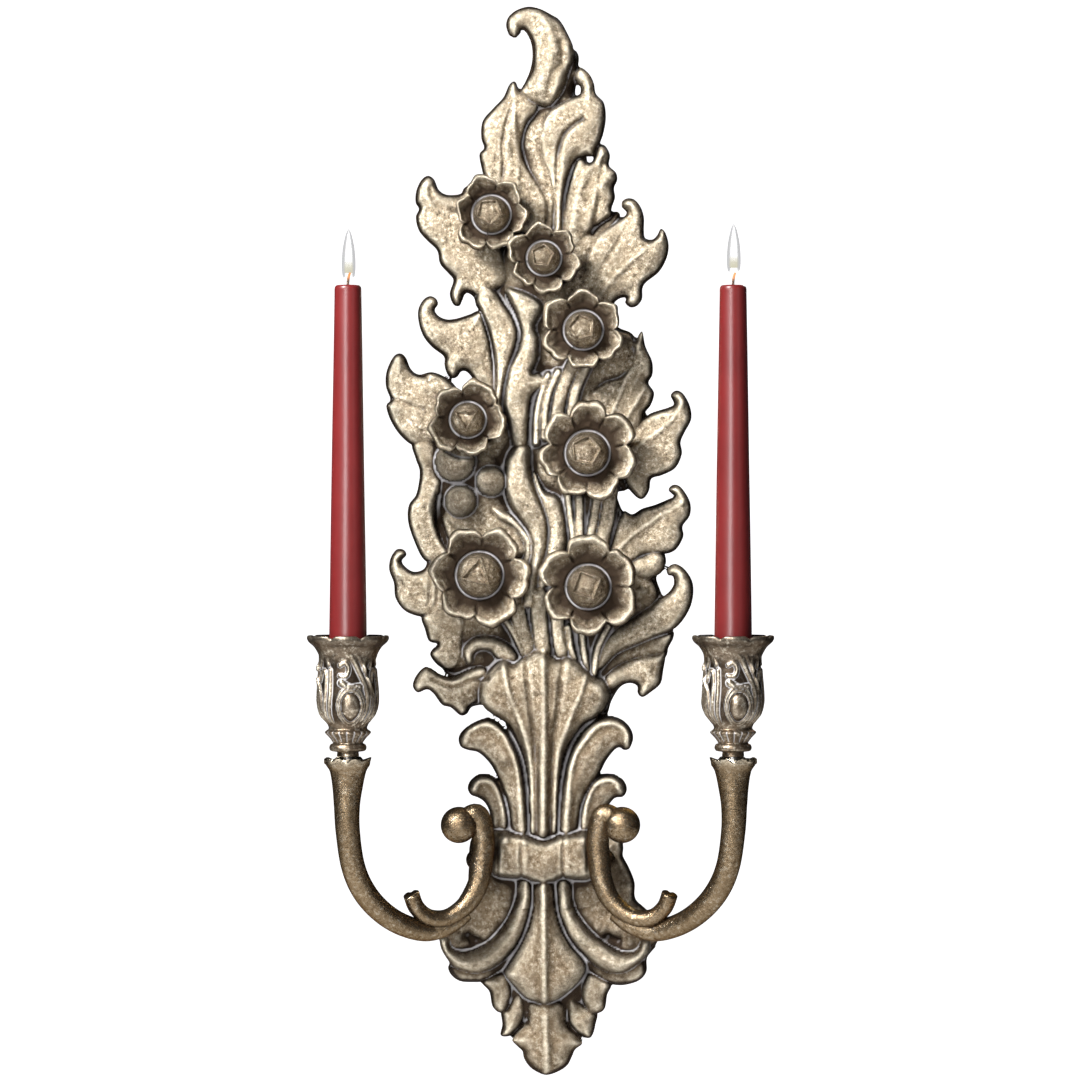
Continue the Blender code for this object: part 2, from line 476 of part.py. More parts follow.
def backplate_mesh():
    """Closed relief: contoured triangles in front, the same outline bevelled to a flat back."""
    xs = np.arange(GRID_X[0], GRID_X[1] + 0.1, GRID_STEP)
    zs = np.arange(GRID_Z[0], GRID_Z[1] + 0.1, GRID_STEP)
    gx, gz = np.meshgrid(xs, zs)
    height, inside = relief(gx, gz)
    inside = np.where(np.abs(inside) < SNAP, np.where(inside < 0, -SNAP, SNAP), inside)
    back = EDGE_LEVEL * (1 - np.clip(inside / BACK_BEVEL, 0, 1))
    bm = bmesh.new()
    front_verts, back_verts, rim_verts = {}, {}, {}

    def vertex(key, front):
        if isinstance(key[0], tuple):
            if key not in rim_verts:
                a, b = key
                t = inside[a] / (inside[a] - inside[b])
                x = gx[a] + t * (gx[b] - gx[a])
                z = gz[a] + t * (gz[b] - gz[a])
                rim_verts[key] = bm.verts.new((x, -EDGE_LEVEL, z))
            return rim_verts[key]
        store = front_verts if front else back_verts
        if key not in store:
            depth = height[key] if front else back[key]
            store[key] = bm.verts.new((gx[key], -depth, gz[key]))
        return store[key]

    def clip(triangle):
        kept = []
        for a, b in zip(triangle, triangle[1:] + triangle[:1]):
            if inside[a] > 0:
                kept.append(a)
            if (inside[a] > 0) != (inside[b] > 0):
                kept.append((a, b) if inside[a] > 0 else (b, a))
        return kept

    for r in range(len(zs) - 1):
        for c in range(len(xs) - 1):
            a, b, d, e = (r, c), (r, c + 1), (r + 1, c + 1), (r + 1, c)
            split = [(a, b, d), (a, d, e)] if (r + c) % 2 else [(a, b, e), (b, d, e)]
            for triangle in split:
                kept = clip(triangle)
                if len(kept) < 3:
                    continue
                bm.faces.new([vertex(k, True) for k in kept])
                bm.faces.new([vertex(k, False) for k in reversed(kept)])
    keep_largest(bm)
    flat = [f for f in bm.faces if all(abs(v.co.y) < 1e-6 for v in f.verts)]
    edges = list({e for f in flat for e in f.edges})
    verts = list({v for f in flat for v in f.verts})
    bmesh.ops.dissolve_limit(bm, angle_limit=0.002, verts=verts, edges=edges)
    return bm


def keep_largest(bm):
    """Drop the small islands that lie outside the main silhouette."""
    left = set(bm.verts)
    islands = []
    while left:
        front = [left.pop()]
        island = set(front)
        while front:
            for edge in front.pop().link_edges:
                for vert in edge.verts:
                    if vert in left:
                        left.remove(vert)
                        island.add(vert)
                        front.append(vert)
        islands.append(island)
    islands.sort(key=len)
    for island in islands[:-1]:
        bmesh.ops.delete(bm, geom=list(island), context="VERTS")


# ------------------------------------------------------------- solid makers

def box_mesh(low, high):
    bm = bmesh.new()
    bmesh.ops.create_cube(bm, size=1.0)
    for vert in bm.verts:
        vert.co = Vector(low[i] + (vert.co[i] + 0.5) * (high[i] - low[i]) for i in range(3))
    return bm


def lathe(profile, centre, segments, axis="Z", lobes=0):
    """Solid of revolution; a profile that starts on the axis is capped, others close on themselves."""
    bm = bmesh.new()
    rings = []
    for radius, along, *wave in profile:
        ring = []
        count = 1 if radius == 0 else segments
        for k in range(count):
            angle = 2 * math.pi * k / segments
            r = radius * (1 + (wave[0] * math.cos(lobes * angle) if wave else 0))
            across = (r * math.cos(angle), r * math.sin(angle))
            if axis == "Z":
                offset = (across[0], across[1], along)
            else:
                offset = (across[0], -along, across[1])
            ring.append(bm.verts.new(Vector(offset) + Vector(centre)))
        rings.append(ring)
    pairs = list(zip(rings[:-1], rings[1:]))
    if len(rings[0]) > 1:
        pairs.append((rings[-1], rings[0]))
    for low, high in pairs:
        for k in range(segments):
            n = (k + 1) % segments
            quad = [low[k % len(low)], low[n % len(low)], high[n % len(high)], high[k % len(high)]]
            face = []
            for vert in quad:
                if vert not in face:
                    face.append(vert)
            bm.faces.new(face)
    return bm


def smooth_path(stations, steps):
    p = np.array(stations, float)
    rows = []
    for i in range(len(p) - 1):
        a, b, c, d = p[max(i - 1, 0)], p[i], p[i + 1], p[min(i + 2, len(p) - 1)]
        for t in np.linspace(0, 1, steps, endpoint=False):
            rows.append(0.5 * (2 * b + (c - a) * t + (2 * a - 5 * b + 4 * c - d) * t ** 2
                               + (3 * b - a - 3 * c + d) * t ** 3))
    rows.append(p[-1])
    return np.array(rows)


def sweep(stations, steps, sides):
    """Oval bar along a path of (x, depth, z, half width, half thickness)."""
    rows = smooth_path(stations, steps)
    bm = bmesh.new()
    rings = []
    for i, (x, depth, z, half_width, half_thick) in enumerate(rows):
        ahead = rows[min(i + 1, len(rows) - 1)]
        behind = rows[max(i - 1, 0)]
        along = Vector((ahead[0] - behind[0], behind[1] - ahead[1], ahead[2] - behind[2])).normalized()
        side = along.cross(Vector((0, 1, 0))).normalized()
        out = side.cross(along).normalized()
        ring = []
        for k in range(sides):
            angle = 2 * math.pi * (k + 0.5) / sides
            offset = side * half_width * math.cos(angle) + out * half_thick * math.sin(angle)
            ring.append(bm.verts.new(Vector((x, -depth, z)) + offset))
        rings.append(ring)
    for low, high in zip(rings[:-1], rings[1:]):
        for k in range(sides):
            n = (k + 1) % sides
            bm.faces.new([low[k], low[n], high[n], high[k]])
    bm.faces.new(rings[0])
    bm.faces.new(list(reversed(rings[-1])))
    return bm


def mirrored(bm):
    for vert in bm.verts:
        vert.co.x = 2 * ARM_PLANE_X - vert.co.x
    return bm


# ---------------------------------------------------------------- sub-parts

def make_backplate(mat):
    plate = object_from("backplate", backplate_mesh(), mat)
    cutters = [
        object_from("cut_plate", box_mesh(
            (-PLATE_HALF_WIDTH - GAP, -PLATE_THICK - GAP, PLATE_BOTTOM - GAP),
            (PLATE_HALF_WIDTH + GAP, 2, PLATE_TOP + GAP)), mat),
        object_from("cut_keyhole", box_mesh((-6.5, -9, SLOT_HEAD_Z - 6.5), (6.5, -1, SLOT_TOP + 5)), mat),
    ]
    for side in (-1, 1):
        hole = [(0, -2), (1.7, -2), (1.7, 11), (0, 11)]
        centre = (side * PLATE_SCREW_X, 0, PLATE_SCREW_Z)
        cutters.append(object_from("cut_hanger_screw", lathe(hole, centre, 12, "Y"), mat))
    counterbore = [(0, -2), (3.1, -2), (3.1, 6), (1.7, 6), (1.7, 22), (0, 22)]
    for z in ARM_SCREW_Z:
        for mirror in (False, True):
            bm = lathe(counterbore, (ARM_SCREW_X, 0, z), 14, "Y")
            cutters.append(object_from("cut_arm_screw", mirrored(bm) if mirror else bm, mat))
    boolean(plate, cutters, "DIFFERENCE")


def make_hanger(steel):
    """Keyhole plate let into the back, held by two countersunk screws."""
    plate = object_from("hanger_plate", box_mesh(
        (-PLATE_HALF_WIDTH, -PLATE_THICK, PLATE_BOTTOM), (PLATE_HALF_WIDTH, 0, PLATE_TOP)), steel)
    head = lathe([(0, -1), (SLOT_HEAD_RADIUS, -1), (SLOT_HEAD_RADIUS, 3), (0, 3)],
                 (0, 0, SLOT_HEAD_Z), 20, "Y")
    slot = box_mesh((-SLOT_RADIUS, -3, SLOT_HEAD_Z), (SLOT_RADIUS, 1, SLOT_TOP))
    cutters = [object_from("cut_head", head, steel), object_from("cut_slot", slot, steel)]
    cone = [(0, -1), (3.9, -1), (1.9, 1.0), (1.9, 3), (0, 3)]
    for side in (-1, 1):
        centre = (side * PLATE_SCREW_X, 0, PLATE_SCREW_Z)
        cutters.append(object_from("cut_screw", lathe(cone, centre, 12, "Y"), steel))
    boolean(plate, cutters, "DIFFERENCE")
    screw = [(0, 0.1), (2.7, 0.1), (1.4, 1.4), (1.4, 10), (0, 10)]
    for name, side in (("hanger_screw_left", -1), ("hanger_screw_right", 1)):
        centre = (side * PLATE_SCREW_X, 0, PLATE_SCREW_Z)
        object_from(name, lathe(screw, centre, 10, "Y"), steel, centre)


def petal_radius(angle, dome, petal, count, start):
    """Lobed outline of a flower: round petal ends and narrow clefts."""
    phase = (angle - math.radians(start)) * count / 2
    return dome + (petal - dome) * (0.62 + 0.38 * abs(math.cos(phase)) ** 0.6)


def make_flowers(mat):
    for name, (x, z, dome, petal, seat, count, start) in FLOWERS.items():
        segments = count * 3
        base = seat + GAP
        rings = [
            (0.0, None, base), (0.5, None, base), (0.93, None, base + 5.0), (1.0, None, base + 9.0),
            (0.93, None, base + 10.5), (0.7, None, base + 6.5), (None, 1.12, base + 6.0),
            (None, 1.0, base + 9.0), (None, 0.72, base + 13.0), (0.0, None, base + 13.5),
        ]
        bm = bmesh.new()
        loops = []
        for share, dome_share, depth in rings:
            loop = []
            for k in range(1 if share == 0.0 else segments):
                angle = 2 * math.pi * k / segments
                if dome_share:
                    radius = dome * dome_share
                else:
                    radius = share * petal_radius(angle, dome, petal, count, start)
                loop.append(bm.verts.new((x + radius * math.cos(angle), -depth,
                                          z + radius * math.sin(angle))))
            loops.append(loop)
        for low, high in zip(loops[:-1], loops[1:]):
            for k in range(segments):
                n = (k + 1) % segments
                corners = [low[k % len(low)], low[n % len(low)], high[n % len(high)], high[k % len(high)]]
                bm.faces.new(list(dict.fromkeys(corners)))
        bmesh.ops.triangulate(bm, faces=bm.faces)
        object_from(name, bm, mat, (x, -base, z))


def make_arm(name, mirror, mat):
    """Scroll bracket and swept arm moulded in one piece."""
    side = mirrored if mirror else (lambda bm: bm)
    centre = 2 * ARM_PLANE_X - CUP_X if mirror else CUP_X
    arm = object_from(name, side(sweep([row + (row[3],) for row in ARM], 2, 10)), mat)
    x, depth, z, radius = SCROLL_BALL
    ball = [(radius * math.sin(math.pi * k / 8) if 0 < k < 8 else 0,
             -radius * math.cos(math.pi * k / 8)) for k in range(9)]
    low = (ARM_PAD_X[0], -ARM_PAD_DEPTH[1], ARM_PAD_Z[0])
    high = (ARM_PAD_X[1], -ARM_PAD_DEPTH[0], ARM_PAD_Z[1])
    tools = [
        object_from("join_scroll", side(sweep(SCROLL, 2, 8)), mat),
        object_from("join_ball", side(lathe(ball, (x, -depth, z), 12)), mat),
        object_from("join_pad", side(box_mesh(low, high)), mat),
    ]
    boolean(arm, tools, "UNION")
    hole = [(0, STUD_END_Z - 1), (2.75, STUD_END_Z - 1), (2.75, ARM_TOP_Z + 3), (0, ARM_TOP_Z + 3)]
    cutters = [object_from("cut_stud", lathe(hole, (centre, -CUP_DEPTH, 0), 14), mat)]
    for screw_z in ARM_SCREW_Z:
        pilot = [(0, 15), (1.7, 15), (1.7, 32), (0, 32)]
        cutters.append(object_from("cut_pilot", side(lathe(pilot, (ARM_SCREW_X, 0, screw_z), 14, "Y")), mat))
    boolean(arm, cutters, "DIFFERENCE")


def make_arm_screws(side_name, mirror, steel):
    screw = [(0, 2.6), (2.8, 2.6), (2.8, 5.7), (1.4, 5.7), (1.4, 30), (0, 30)]
    for label, z in zip(("upper", "lower"), ARM_SCREW_Z):
        x = 2 * ARM_PLANE_X - ARM_SCREW_X if mirror else ARM_SCREW_X
        name = "arm_screw_%s_%s" % (side_name, label)
        object_from(name, lathe(screw, (x, 0, z), 12, "Y"), steel, (x, 0, z))


def make_cup_stack(side_name, centre_x, mats):
    """Stud, cup, liner, candle and wick on one vertical axis."""
    centre = (centre_x, -CUP_DEPTH, 0)
    foot = (centre_x, -CUP_DEPTH, CUP_FOOT_Z)
    stud = [(0, STUD_END_Z), (2.4, STUD_END_Z), (2.4, STUD_STEP_Z + GAP), (4.6, STUD_STEP_Z + GAP),
            (4.6, STUD_STEP_Z + 4.3), (0, STUD_STEP_Z + 4.3)]
    object_from(side_name + "_stud", lathe(stud, centre, 12), mats["steel"], foot)
    profile = [(r, z, CUP_LOBE_DEPTH if z > -284 else 0.0) for r, z in CUP_OUTSIDE]
    profile += [(r, z, CUP_LOBE_DEPTH if z > -284 else 0.0) for r, z in CUP_INSIDE]
    object_from(side_name + "_cup", lathe(profile, centre, CUP_LOBES * 3, "Z", CUP_LOBES), mats["cup"], foot)
    floor = SOCKET_FLOOR_Z + GAP
    liner = [(0, floor), (12.0, floor), (12.0, -297.0), (14.4, -294.8), (13.9, -294.2),
             (11.4, -296.4), (11.4, floor + 0.8), (0, floor + 0.8)]
    object_from(side_name + "_liner", lathe(liner, centre, CUP_LOBES * 3), mats["brass"], foot)
    base = floor + 0.8 + GAP
    candle = [(0, base), (10.6, base), (11.0, base + 1.0), (10.8, -281), (7.8, CANDLE_TOP_Z - 1.5),
              (7.2, CANDLE_TOP_Z - 0.3), (6.2, CANDLE_TOP_Z), (1.2, CANDLE_TOP_Z),
              (1.2, CANDLE_TOP_Z - 12), (0, CANDLE_TOP_Z - 12)]
    object_from(side_name + "_candle", lathe(candle, centre, 20), mats["wax"], (centre_x, -CUP_DEPTH, base))
    wick = [(0, CANDLE_TOP_Z - 11.6), (0.8, CANDLE_TOP_Z - 11.6), (0.8, WICK_TOP_Z), (0, WICK_TOP_Z)]
    object_from(side_name + "_wick", lathe(wick, centre, 8), mats["cotton"], (centre_x, -CUP_DEPTH, base))


def main():
    clear_scene()
    gold = material("antique_gold", GOLD, 0.42, 0.35)
    steel = material("zinc_steel", STEEL, 0.35, 1.0)
    mats = {
        "steel": steel,
        "cup": material("silvered_gold", SILVERED, 0.42, 0.35),
        "brass": material("brass_insert", BRASS, 0.35, 1.0),
        "wax": material("red_wax", WAX, 0.4, 0.0),
        "cotton": material("wick_cotton", COTTON, 0.9, 0.0),
    }
    make_backplate(gold)
    make_hanger(steel)
    make_flowers(gold)
    for side_name, mirror in (("left", False), ("right", True)):
        make_arm(side_name + "_arm", mirror, gold)
        make_arm_screws(side_name, mirror, steel)
        make_cup_stack(side_name, 2 * ARM_PLANE_X - CUP_X if mirror else CUP_X, mats)


main()
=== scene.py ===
"""Looks of the two-arm wall sconce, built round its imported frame.

Outlines and strokes are lists of (x, z) points in millimetres from the hanging point;
heights are measured from the wall towards the front (-Y).
"""
import math

import bmesh
import bpy
import numpy as np
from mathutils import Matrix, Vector


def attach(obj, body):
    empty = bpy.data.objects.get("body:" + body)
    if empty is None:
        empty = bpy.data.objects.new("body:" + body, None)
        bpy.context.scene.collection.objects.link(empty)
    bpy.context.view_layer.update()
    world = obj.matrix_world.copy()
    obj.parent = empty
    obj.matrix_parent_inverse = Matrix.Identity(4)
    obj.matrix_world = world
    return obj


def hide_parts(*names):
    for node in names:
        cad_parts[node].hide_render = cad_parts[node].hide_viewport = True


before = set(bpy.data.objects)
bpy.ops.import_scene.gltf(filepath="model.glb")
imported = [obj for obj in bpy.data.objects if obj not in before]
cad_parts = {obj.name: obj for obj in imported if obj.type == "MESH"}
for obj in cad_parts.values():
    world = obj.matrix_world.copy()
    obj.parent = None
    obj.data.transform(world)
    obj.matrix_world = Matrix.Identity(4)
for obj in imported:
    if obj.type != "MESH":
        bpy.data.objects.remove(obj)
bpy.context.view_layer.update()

MM = 0.001
STEP = 0.9
GRID_X = (-99.0, 96.0)
GRID_Z = (-551.0, 100.0)
WALL_DROP = 8.0
WALL_SLOPE = 4.5
BACK_EDGE = 8.0
BACK_BEVEL = 7.0
ARM_PLANE_X = -1.5
CUP_X = -113.0
CUP_DEPTH = 95.0
rng = np.random.default_rng(11)

# name: (crown height, edge width, (slope in x, slope in z), outline)
RELIEF = {
    "crest_curl": (21, 5, (0.1, 0), [
        (2, 37), (8, 41), (13, 49), (15, 57), (18, 65), (18.5, 71), (16, 78), (10.5, 88), (5, 92),
        (-2, 95.6), (-9, 97), (-16, 95), (-20.8, 91), (-22.3, 86), (-20.6, 80.6), (-17, 78.4),
        (-14.2, 80.4), (-12.2, 83.3), (-9.2, 80), (-6.9, 74), (-6.4, 66), (-8, 58), (-11, 51),
        (-14, 45), (-8, 39),
    ]),
    "crest_left": (18, 4, (-0.05, -0.02), [
        (-2, 38), (-8, 44), (-14, 47.5), (-17, 52.3), (-20.5, 50), (-24, 42.5), (-30, 36), (-36.5, 28),
        (-37.3, 18), (-35.6, 12), (-38.4, 8), (-37.2, 0), (-35, -8), (-30, -22), (-16, -38), (-2, -42),
        (4, -30), (3, -18), (-3, -8), (-8.5, 0), (-11.8, 8), (-12.2, 16), (-9.5, 26), (-4, 32.6),
    ]),
    "crest_right": (19, 4, (0.06, 0), [
        (22, 60.5), (27.5, 57), (30.7, 51), (32, 44.5), (36.8, 39), (38, 30), (36.6, 21), (34.6, 15.4),
        (31.5, 10.5), (30.2, 7.2), (28, 6.9), (25, 6.5), (20, 4), (15.5, -6), (12.5, -22), (12, -40),
        (5, -40), (5.5, -20), (2.5, -6), (-1.5, 4), (-3, 15), (-2, 26), (3, 34), (9, 38.5), (16, 42),
        (19.6, 43.2), (21.8, 44.2), (22.8, 46.4), (22.4, 48.8), (20.6, 50.8), (18.4, 55),
    ]),
    "crest_side": (15.5, 4, (0.05, 0.02), [
        (33, 14.6), (37.5, 13.6), (40.5, 8), (40, 1.6), (44, -2.6), (45, -7), (43, -12), (43.6, -18),
        (41.6, -24), (41.5, -29), (34, -35), (28, -42), (22, -54), (14, -50), (10, -38), (11, -20),
        (15, -6), (20, 6), (26, 5.8), (26.8, 4.2), (28.4, 3.4), (30, 4.4), (30.6, 6.6), (31.6, 11),
    ]),
    "crest_spur": (13, 3, (0, 0), [
        (14, 62), (18.5, 70.4), (21, 69.8), (21.8, 66.5), (21.6, 62), (24, 58.5), (22.6, 53),
        (20.4, 50.4), (19.6, 47), (20, 44), (23, 42.4), (24, 38), (12, 34), (2, 34), (8, 46),
    ]),
    "leaf_upper_left": (17, 4, (-0.06, 0), [
        (-36, -14), (-42, -9.4), (-47.6, -12), (-50, -15.6), (-58, -16.2), (-63, -13.2), (-65.8, -7),
        (-69.5, -4.8), (-73.5, -7.4), (-76.6, -14), (-77, -21), (-75, -25), (-76.9, -30), (-75, -38),
        (-70, -44), (-64, -50), (-62.2, -58), (-57, -64), (-54.2, -68), (-56.4, -76), (-54.2, -82.5),
        (-50.6, -83.4), (-48.8, -80), (-46.5, -75.6), (-42, -78), (-39, -85), (-30, -78), (-20, -68),
        (-24, -50),
    ]),
    "leaf_upper_right": (17, 4, (0.04, 0.06), [
        (20, -82), (21.5, -70), (23.5, -60), (27, -50), (31, -42), (37, -36.6), (44, -32.6),
        (49.6, -29), (50.4, -26.6), (47.8, -24), (47.8, -20.6), (50.8, -18.6), (55, -19.2),
        (58.8, -23.4), (61, -30), (61, -38), (61.8, -42.4), (66, -43.4), (69, -40.8), (71.2, -37),
        (74, -39.4), (76, -47), (74.6, -55), (70, -63), (62.5, -69), (60.2, -73), (60, -79),
        (57, -83.2), (53, -84.2), (49.8, -81.6), (50, -78.4), (45.4, -79.4), (42, -84), (42, -92),
        (30, -100),
    ]),
    "leaf_left_second": (17, 4, (-0.04, 0.03), [
        (-37, -86), (-44, -88.4), (-52, -91), (-58, -91.6), (-63, -89.6), (-65.4, -86), (-63.4, -82.4),
        (-64.8, -79), (-68.4, -77.6), (-72.4, -80), (-75.4, -86), (-75, -94), (-72.2, -102),
        (-67, -108.4), (-60, -114), (-59.6, -119), (-58.2, -124), (-55, -127.2), (-51.8, -126.2),
        (-49.6, -123.2), (-46.6, -123), (-43, -126.6), (-40.6, -132), (-37, -140), (-30, -150),
        (-26, -140), (-29, -112), (-33, -96),
    ]),
    "blade_left": (21, 4, (0.08, 0), [
        (-37, -70), (-30, -73), (-24, -82), (-18, -91), (-15.2, -100), (-16.4, -109), (-20, -121),
        (-23, -134), (-26, -150), (-30, -146), (-29.6, -120), (-32, -102), (-38, -88), (-41, -80),
    ]),
    "blade_centre": (23, 4, (0, 0), [
        (-22, -74), (-10, -76), (0, -84), (-4.6, -96), (-2.6, -104), (-3, -115), (-6, -123.6),
        (-2, -124.6), (4.4, -127.6), (4.6, -132), (-1, -134.4), (-6.4, -139), (-8, -150), (-9, -166),
        (-12, -176), (-18, -170), (-21, -155), (-24, -142), (-21, -122), (-15.4, -110), (-13.6, -100),
        (-16, -90),
    ]),
    "leaf_fan": (16.5, 4, (0.05, 0.02), [
        (49, -103), (55, -104.6), (58.2, -100.4), (60.2, -99.2), (62, -108), (66, -117), (66.2, -125),
        (63.8, -130), (67.2, -136), (65.4, -143), (61.8, -148.6), (60, -160), (48, -170), (33, -162),
        (26, -150), (27, -136), (36, -129), (46, -125.6), (52.4, -119.6), (54.4, -112), (52, -106),
    ]),
    "leaf_mid_right": (17, 4, (0.04, 0), [
        (50, -162), (58, -152.6), (62, -150), (67, -147.6), (76, -144.8), (79.2, -142.6),
        (77.2, -137.6), (80.4, -134.6), (84.8, -136.6), (88.8, -144), (89.6, -152), (85.6, -160),
        (83.2, -166), (84, -173), (80, -181.4), (72, -185.8), (65.6, -188), (64.2, -195), (60.6, -200),
        (56, -198.6), (49, -190), (42, -176),
    ]),
    "leaf_low_right": (18, 4, (0.03, 0.04), [
        (38, -236), (41, -222), (45.4, -212), (49, -207.4), (54, -209.4), (60, -206), (68, -203.6),
        (76, -200.2), (79.2, -198.4), (75.8, -194.8), (78.8, -191.6), (83.6, -193.4), (88.8, -202),
        (88.8, -210), (84.4, -216.6), (84.8, -223), (80, -231), (72, -234), (60, -236), (50, -242),
    ]),
    "lobe_low_right": (19, 5, (0, 0), [
        (51, -240), (58, -234.4), (68, -231), (74, -235), (73, -243), (66, -248), (59, -249),
        (53, -246),
    ]),
    "knob_low_right": (15, 5, (0, 0), [
        (53, -252), (60, -249.6), (66, -253), (66, -259), (60, -263), (52, -262),
    ]),
    "hook_right": (20, 5, (0.02, 0), [
        (75, -242), (80, -239.4), (86.4, -243.6), (90.6, -252), (89.8, -263), (85, -272.6),
        (78, -279.6), (66, -285), (55, -290), (45, -294.6), (38, -302), (32, -306), (31, -296),
        (37, -285), (46, -276.6), (57, -269.6), (67, -262.6), (75.4, -257), (79, -251.6), (78.4, -247),
        (75.4, -246),
    ]),
    "under_hook": (15, 4, (0, 0), [
        (78, -280), (79, -284), (76, -290), (73.6, -296), (60, -300), (45, -306), (36, -312),
        (32, -306), (40, -294), (52, -287), (66, -282),
    ]),
    "leaf_foot_right": (20, 5, (0, -0.04), [
        (74, -293), (72.6, -304), (71, -311.6), (65.4, -316.6), (60.2, -319.8), (57.2, -317.4),
        (56.8, -313), (52, -311.4), (46.4, -314), (41.4, -322), (38.4, -330.4), (33, -328), (33, -312),
        (41, -302.6), (50, -297), (61, -293.6), (69, -293),
    ]),
    "leaf_left_third": (16, 4, (-0.04, 0), [
        (-46, -142), (-52, -133), (-58, -127), (-67, -123.4), (-75, -124.8), (-80, -121.4),
        (-83, -114.6), (-86.6, -112), (-90.6, -114.4), (-94.6, -123), (-95, -132), (-92.4, -140),
        (-94.8, -144), (-92, -153), (-86, -162), (-78, -168), (-68, -168), (-55, -164), (-46, -152),
    ]),
    "strip_left": (15, 4, (-0.03, 0), [
        (-79, -166), (-77, -176), (-74.6, -184), (-76.6, -197), (-81.2, -204), (-81.6, -214),
        (-77.8, -226), (-72, -237), (-62, -242), (-50, -236), (-60, -226), (-64.6, -215), (-64, -205),
        (-60, -196), (-58, -186), (-60, -172), (-68, -162),
    ]),
    "leaf_low_left": (16, 4, (-0.05, 0), [
        (-68, -236), (-72, -242.4), (-78, -244.2), (-83, -241.4), (-85.4, -237.6), (-82.6, -234),
        (-84.4, -230.8), (-88.6, -230.8), (-92.2, -236), (-93, -243), (-90.2, -251), (-89.2, -260),
        (-84, -267.4), (-76, -271), (-66, -272), (-52, -268), (-48, -255), (-58, -238),
    ]),
    "leaf_low_left_b": (17, 4, (0, 0), [
        (-73.4, -271), (-71.4, -279), (-69, -286), (-64, -288), (-66.8, -291), (-68.2, -294.6),
        (-64, -300.4), (-57.4, -304), (-51, -301.4), (-47.6, -295), (-47, -285), (-46, -272),
        (-55, -264), (-66, -266),
    ]),
    "swirl_left": (21, 4, (0, 0), [
        (-49, -292), (-45, -285.6), (-38, -282.4), (-29, -283), (-21, -287), (-14, -293), (-11, -301),
        (-22, -302), (-28, -297.6), (-32, -293), (-37, -292), (-40.6, -294), (-42, -299), (-46, -300),
    ]),
    "leaf_foot_left": (21, 4.5, (0, 0.06), [
        (-71.6, -301.8), (-76.6, -307), (-78.6, -313), (-75.6, -317), (-70, -315.2), (-66, -317.8),
        (-61, -324.4), (-55.6, -326.2), (-50, -330.8), (-46, -330), (-43.2, -326), (-38, -324.4),
        (-30, -322), (-26, -308), (-36, -301.6), (-44, -303), (-54, -307.4), (-62, -306), (-67, -302.8),
    ]),
    "stem_front": (27, 4.5, (0, 0), [
        (-14, -167), (-8.6, -170), (-8, -182), (-4.6, -194), (1.4, -206), (3.6, -218), (2.6, -232),
        (-2, -246), (-4, -264), (-13, -264), (-10, -245), (-7, -232), (-8.6, -221), (-14.6, -212),
        (-20.6, -202), (-23, -190), (-22, -178), (-19, -171),
    ]),
    "stem_second": (24, 4, (0, 0), [
        (-6, -184), (1, -195), (9, -199), (13.4, -210), (14.4, -220), (13, -234), (6, -246), (0, -256),
        (-5, -250), (0, -235), (2, -218), (-2, -204),
    ]),
    "leaf_under_berries": (16, 5, (0, 0), [
        (-60, -165), (-30, -172), (-20, -185), (-20, -200), (-10, -215), (-4, -235), (-20, -240),
        (-50, -225), (-62, -205),
    ]),
    "curve_low_left": (21, 4, (0, 0), [
        (-32, -204), (-20, -208), (-11, -216), (-5.6, -226), (-6, -238), (-11, -246), (-17, -243),
        (-12.6, -235), (-12.6, -227), (-18, -219), (-28, -213),
    ]),
    "vase": (31, 6, (0, 0.035), [
        (-31, -304), (-24, -298), (-17.6, -300), (-11, -296), (-4, -291.6), (2, -293.6), (8, -297),
        (14, -296), (20, -299), (25.6, -304), (31, -308.4), (36.4, -311), (39.4, -318), (36.4, -326),
        (31, -331.6), (24, -335.6), (18, -343), (13, -355), (10.4, -370), (9.4, -385), (9, -404),
        (-8, -404), (-8, -388), (-8.4, -372), (-10.6, -358), (-15.6, -345), (-21.6, -336), (-29, -331),
        (-35.6, -325.6), (-38, -318), (-36.6, -310),
    ]),
    "scroll_upper_left": (27, 4.5, (0, 0), [
        (-8.4, -404), (-9.4, -382), (-12, -365), (-16, -352), (-21, -342), (-27, -335), (-33, -332.2),
        (-40, -334.2), (-47.4, -338.8), (-50.8, -344), (-49.6, -349.4), (-45, -351.6), (-39, -353),
        (-33, -358.4), (-29, -364.6), (-24, -376), (-20.6, -390), (-20, -404),
    ]),
    "scroll_upper_right": (27, 4.5, (0, 0), [
        (8.4, -404), (9.6, -382), (12, -366), (16, -353), (21.4, -343), (28.4, -335), (37, -331.2),
        (45.4, -332.2), (51.6, -336.8), (54.4, -343.6), (52.4, -350.2), (49, -351.6), (46, -350),
        (42.6, -352), (38, -358), (34.4, -365), (28, -374), (23, -386), (21, -404),
    ]),
    "scroll_lower_left": (23, 4.5, (0, 0), [
        (-19, -404), (-20, -390), (-23, -379), (-27, -371), (-32, -366.6), (-38.4, -366.2),
        (-43.6, -369.8), (-45.4, -374.6), (-43.4, -378.6), (-39, -380.4), (-35, -383.4), (-32, -390),
        (-30, -404),
    ]),
    "scroll_lower_right": (23, 4.5, (0, 0), [
        (20, -404), (21.4, -388), (25, -377), (29, -370), (35, -366.2), (42.4, -366.2), (48.6, -370),
        (50.6, -375.2), (48.4, -379.6), (43.4, -380.6), (39.4, -385), (34, -392), (30, -404),
    ]),
    "ribbon": (37, 4, (0, 0), [
        (-28, -401), (-13, -402), (-6, -404), (0, -406), (6, -404), (12, -402), (28, -401.4),
        (28.6, -414), (28, -426.6), (12, -427), (6, -429), (0, -430), (-6, -429), (-12, -427),
        (-28, -425), (-28.6, -413),
    ]),
    "tongue": (30, 7, (0, 0.02), [
